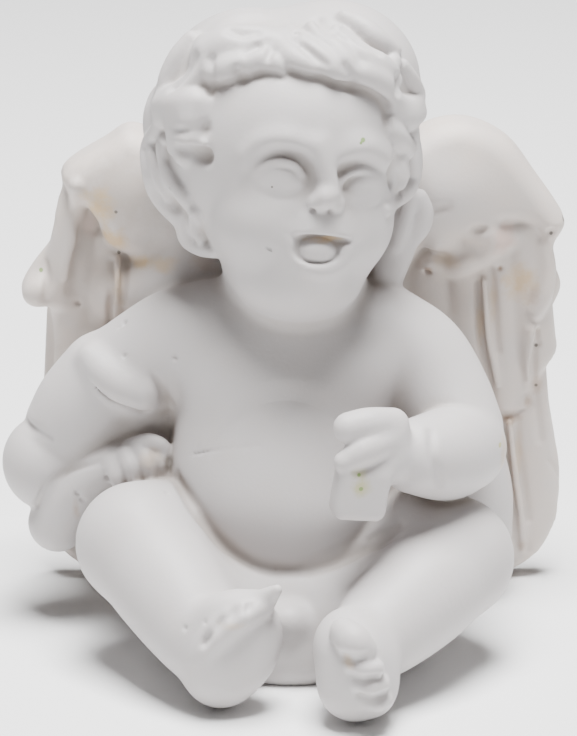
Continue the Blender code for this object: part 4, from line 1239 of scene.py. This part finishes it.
class Material:
    """A node material, and one method that makes any node."""

    def __init__(self, name):
        self.material = bpy.data.materials.new(name)
        self.material.use_nodes = True
        self.tree = self.material.node_tree
        self.shader = self.tree.nodes["Principled BSDF"]

    def node(self, kind, settings, inputs, output=0):
        node = self.tree.nodes.new("ShaderNode" + kind)
        for name, value in settings.items():
            setattr(node, name, value)
        for name, value in inputs.items():
            put(self.tree, node.inputs[name], value)
        return Value(self.tree, node.outputs[output])

    def place(self):
        return self.node("TexCoord", {}, {}, "Object")

    def noise(self, size_mm, detail=3.0, roughness=0.5):
        """Noise whose features are about size_mm across."""
        return self.node("TexNoise", {}, {"Vector": self.place(), "Scale": 1.0 / (size_mm * MM),
                                          "Detail": detail, "Roughness": roughness})

    def spot(self, place_mm, radii_mm):
        """One in the middle of an ellipsoid, falling evenly to nought at its skin and below it outside."""
        away = self.node("VectorMath", {"operation": "SUBTRACT"},
                         {0: self.place(), 1: tuple(float(v) * MM for v in place_mm)})
        scaled = self.node("VectorMath", {"operation": "MULTIPLY"},
                           {0: away, 1: tuple(1 / (float(v) * MM) for v in radii_mm)})
        return 1.0 - self.node("VectorMath", {"operation": "LENGTH"}, {0: scaled}, "Value")

    def mix(self, factor, first, second):
        return self.node("Mix", {"data_type": "RGBA"}, {0: factor, 6: first, 7: second}, 2)


RESIN = (0.50, 0.475, 0.47, 1.0)
RESIN_WARM = (0.48, 0.445, 0.43, 1.0)
# Colour of the painted shade that darkens the hollows of the skin
HOLLOW_SHADE = (0.30, 0.255, 0.22, 1.0)
WING_TONE = (0.60, 0.53, 0.48, 1.0)
YELLOW = (0.56, 0.40, 0.22, 1.0)
BEIGE = (0.44, 0.38, 0.33, 1.0)
BROWN = (0.36, 0.24, 0.16, 1.0)
PINK = (0.54, 0.40, 0.35, 1.0)
DARK = (0.10, 0.085, 0.07, 1.0)
GREEN = (0.16, 0.26, 0.06, 1.0)
OLIVE = (0.40, 0.38, 0.15, 1.0)

# Stains, with two marks of painted shade among them: the wide beige one on the left dome is a real beige
# stain that is also darkened as painted shade, and the dark one beside the right hand is painted shade. Rows
# are px, py, half width, half height in mm, colour, strength
STAINS_AND_SHADE = (
    # The first mark is a beige stain on the left dome, darker than the stain alone to stand in for shade as
    # well
    (120, 190, 6.5, 6.0, BEIGE, 0.6), (98, 208, 1.9, 2.6, YELLOW, 0.9), (113, 240, 2.0, 1.8, YELLOW, 0.85),
    (160, 264, 2.8, 1.0, YELLOW, 0.5),
    (205, 262, 1.8, 1.2, BROWN, 0.3), (140, 262, 1.2, 0.7, YELLOW, 0.6), (90, 225, 1.0, 1.6, PINK, 0.4),
    (118, 290, 0.8, 2.8, YELLOW, 0.4),
    (505, 240, 1.9, 2.1, PINK, 0.75), (520, 282, 2.1, 2.3, YELLOW, 0.75), (533, 295, 1.0, 1.0, BROWN, 0.4),
    (500, 268, 0.4, 0.4, BROWN, 0.8), (509, 420, 1.4, 0.7, BROWN, 0.6), (538, 384, 0.8, 1.2, BROWN, 0.45),
    (527, 402, 0.6, 0.8, BROWN, 0.5), (480, 320, 0.5, 3.0, YELLOW, 0.35), (493, 300, 0.5, 2.6, YELLOW, 0.35),
    (504, 455, 0.5, 3.6, YELLOW, 0.35), (518, 455, 0.5, 3.6, YELLOW, 0.3), (523, 545, 0.6, 0.8, BROWN, 0.35),
    (445, 260, 1.6, 1.0, YELLOW, 0.3), (428, 270, 0.5, 0.5, BROWN, 0.7),
    (326, 238, 2.0, 0.35, YELLOW, 0.7), (361, 488, 1.3, 1.0, OLIVE, 0.65), (360, 474, 0.9, 0.7, OLIVE, 0.5),
    (348, 662, 0.7, 0.9, YELLOW, 0.45), (233, 627, 1.8, 0.5, YELLOW, 0.25), (76, 510, 0.5, 1.6, BROWN, 0.4),
    # The last mark, near black beside the right hand, is painted shade in the deep hollow between the hand
    # and the hip
    (150, 460, 1.6, 1.2, YELLOW, 0.3), (170, 462, 0.7, 1.0, DARK, 0.6),
)
# Specks: px, py, radius in mm, colour
SPECKS = (
    (363, 140, 0.26, GREEN), (361, 143, 0.16, GREEN), (500, 445, 0.28, OLIVE), (564, 218, 0.45, DARK),
    (565, 505, 0.4, DARK), (551, 233, 0.22, DARK), (116, 212, 0.2, DARK), (119, 252, 0.22, DARK),
    (41, 270, 0.25, GREEN), (536, 345, 0.22, DARK), (536, 385, 0.2, DARK), (361, 489, 0.24, GREEN),
    (359, 475, 0.2, GREEN), (272, 187, 0.12, DARK),
)
# Casting bubbles and chips: px, py, radius in mm
PITS = (
    (124, 323, 0.35), (119, 327, 0.2), (124, 356, 0.22), (175, 358, 0.28), (78, 304, 0.35), (167, 493, 0.22),
    (107, 478, 0.35), (77, 494, 0.3), (82, 500, 0.25), (297, 33, 0.2), (238, 70, 0.2), (150, 480, 0.2),
    (185, 628, 0.25), (205, 622, 0.2), (275, 570, 0.15),
)

# How deep a stain or a mark of painted shade reaches, how ragged and how sharp its edge is; how sharp and
# strong a speck is
MARK_DEPTH = 2.5
MARK_RAGGED = 1.3
MARK_SHARP = 1.4
SPECK_SHARP = 3.0
SPECK_STRENGTH = 0.85
# Where the tone of the wings starts and over what depth it comes in, in mm
WING_TONE_FROM = 6.0
WING_TONE_OVER = 3.0


def resin_material(stain_and_shade_places, speck_places):
    """Off-white cast resin: warm mottling, warmer wings, painted shade darkening the hollows, stains and
    specks; two of the stains are painted shade, one of them only in part.
    """
    resin = Material("cast resin")
    mottle = resin.noise(4.0)
    patch = resin.noise(1.2, 3.0, 0.6)
    grain = resin.noise(0.35, 2.0)
    colour = resin.mix(((mottle - 0.4) * 1.2).clipped(), RESIN, RESIN_WARM)
    axes = resin.node("SeparateXYZ", {}, {"Vector": resin.place()}, "Y")
    behind = ((axes - WING_TONE_FROM * MM) * (1 / (WING_TONE_OVER * MM))).clipped()
    colour = resin.mix(behind * (mottle + 0.25).clipped(), colour, WING_TONE)
    # Painted shade: the hollower the skin, the darker and warmer its colour, made blotchy by noise
    hollow = resin.node("Attribute", {"attribute_name": "hollow"}, {}, "Fac")
    colour = resin.mix(((hollow - 0.05) * 2.6 + (patch - 0.5) * 0.25).clipped() * 0.65, colour, HOLLOW_SHADE)
    # Stains, and the marks of painted shade among them
    for (_, _, wide, high, tint, strength), place in zip(STAINS_AND_SHADE, stain_and_shade_places):
        spot = resin.spot(place, (wide, MARK_DEPTH, high))
        mask = ((spot + (patch - 0.5) * MARK_RAGGED) * MARK_SHARP).clipped() * strength
        colour = resin.mix(mask, colour, tint)
    for (_, _, radius, tint), place in zip(SPECKS, speck_places):
        spot = resin.spot(place, (radius, radius * 2, radius))
        mask = (spot * SPECK_SHARP).clipped() * SPECK_STRENGTH
        colour = resin.mix(mask, colour, tint)
    put(resin.tree, resin.shader.inputs["Base Color"], colour)
    put(resin.tree, resin.shader.inputs["Roughness"], mottle * 0.12 + 0.5)
    bump = resin.node("Bump", {}, {"Strength": 0.15, "Distance": 0.0001, "Height": grain})
    put(resin.tree, resin.shader.inputs["Normal"], bump)
    resin.shader.inputs["Subsurface Weight"].default_value = 0.15
    resin.shader.inputs["Subsurface Radius"].default_value = (1.0, 0.85, 0.75)
    resin.shader.inputs["Subsurface Scale"].default_value = 0.0008
    return resin.material


# Stage, light and camera

SENSOR_MM = 36.0
FLOOR_HALF = 1.5
WORLD_STRENGTH = 0.05
# Lights: name, azimuth, elevation, distance and size in metres, power in watts
LIGHTS = (("top", 30, 86, 0.6, 0.3, 17.0), ("front", 15, 30, 0.9, 0.5, 0.3))


def stage():
    corners = [(x * FLOOR_HALF, y * FLOOR_HALF, 0) for x, y in ((-1, -1), (1, -1), (1, 1), (-1, 1))]
    floor = bpy.data.meshes.new("floor")
    floor.from_pydata(corners, [], [(0, 1, 2, 3)])
    item = bpy.data.objects.new("floor", floor)
    bpy.context.scene.collection.objects.link(item)
    paper = Material("pale paper")
    paper.shader.inputs["Base Color"].default_value = (0.8, 0.8, 0.8, 1)
    paper.shader.inputs["Roughness"].default_value = 0.9
    floor.materials.append(paper.material)


def area_light(name, azimuth, elevation, distance, size, power):
    a, e = math.radians(azimuth), math.radians(elevation)
    direction = np.array([math.sin(a) * math.cos(e), -math.cos(a) * math.cos(e), math.sin(e)])
    data = bpy.data.lights.new(name, "AREA")
    data.size = size
    data.energy = power
    item = bpy.data.objects.new(name, data)
    bpy.context.scene.collection.objects.link(item)
    item.location = CAMERA_AIM * MM + direction * distance
    item.rotation_mode = "QUATERNION"
    item.rotation_quaternion = Vector(direction).to_track_quat("Z", "Y")


def lights():
    world = bpy.data.worlds.new("studio")
    world.use_nodes = True
    world.node_tree.nodes["Background"].inputs["Color"].default_value = (1, 1, 1, 1)
    world.node_tree.nodes["Background"].inputs["Strength"].default_value = WORLD_STRENGTH
    bpy.context.scene.world = world
    for light in LIGHTS:
        area_light(*light)


def camera():
    e = math.radians(CAMERA_ELEVATION)
    direction = np.array([0.0, -math.cos(e), math.sin(e)])
    data = bpy.data.cameras.new("camera")
    data.sensor_width = SENSOR_MM
    data.lens = FOCAL_PIXELS / PICTURE[1] * SENSOR_MM
    data.clip_start = 0.01
    item = bpy.data.objects.new("camera", data)
    bpy.context.scene.collection.objects.link(item)
    item.location = (CAMERA_AIM + direction * CAMERA_DISTANCE) * MM
    item.rotation_euler = (math.radians(90 - CAMERA_ELEVATION), 0, 0)
    bpy.context.scene.camera = item


plan = {"body": body_places(), "wings": wing_places(), "face": face_places(), "hair": hair_places()}
marks = [row[:2] for row in STAINS_AND_SHADE + SPECKS + PITS]
marks_on_skin, _ = seen_on(lambda clay: sculpt(clay, plan), marks, BODY_MIDDLE)
stain_and_shade_places, speck_places, pit_places = np.split(marks_on_skin, [len(STAINS_AND_SHADE), len(STAINS_AND_SHADE + SPECKS)])
plan["pits"] = [(place, radius) for (_, _, radius), place in zip(PITS, pit_places)]
figure = figurine(plan)
figure.data.materials.clear()
figure.data.materials.append(resin_material(stain_and_shade_places, speck_places))
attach(figure, "root")
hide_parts("angel_figurine")
stage()
lights()
camera()
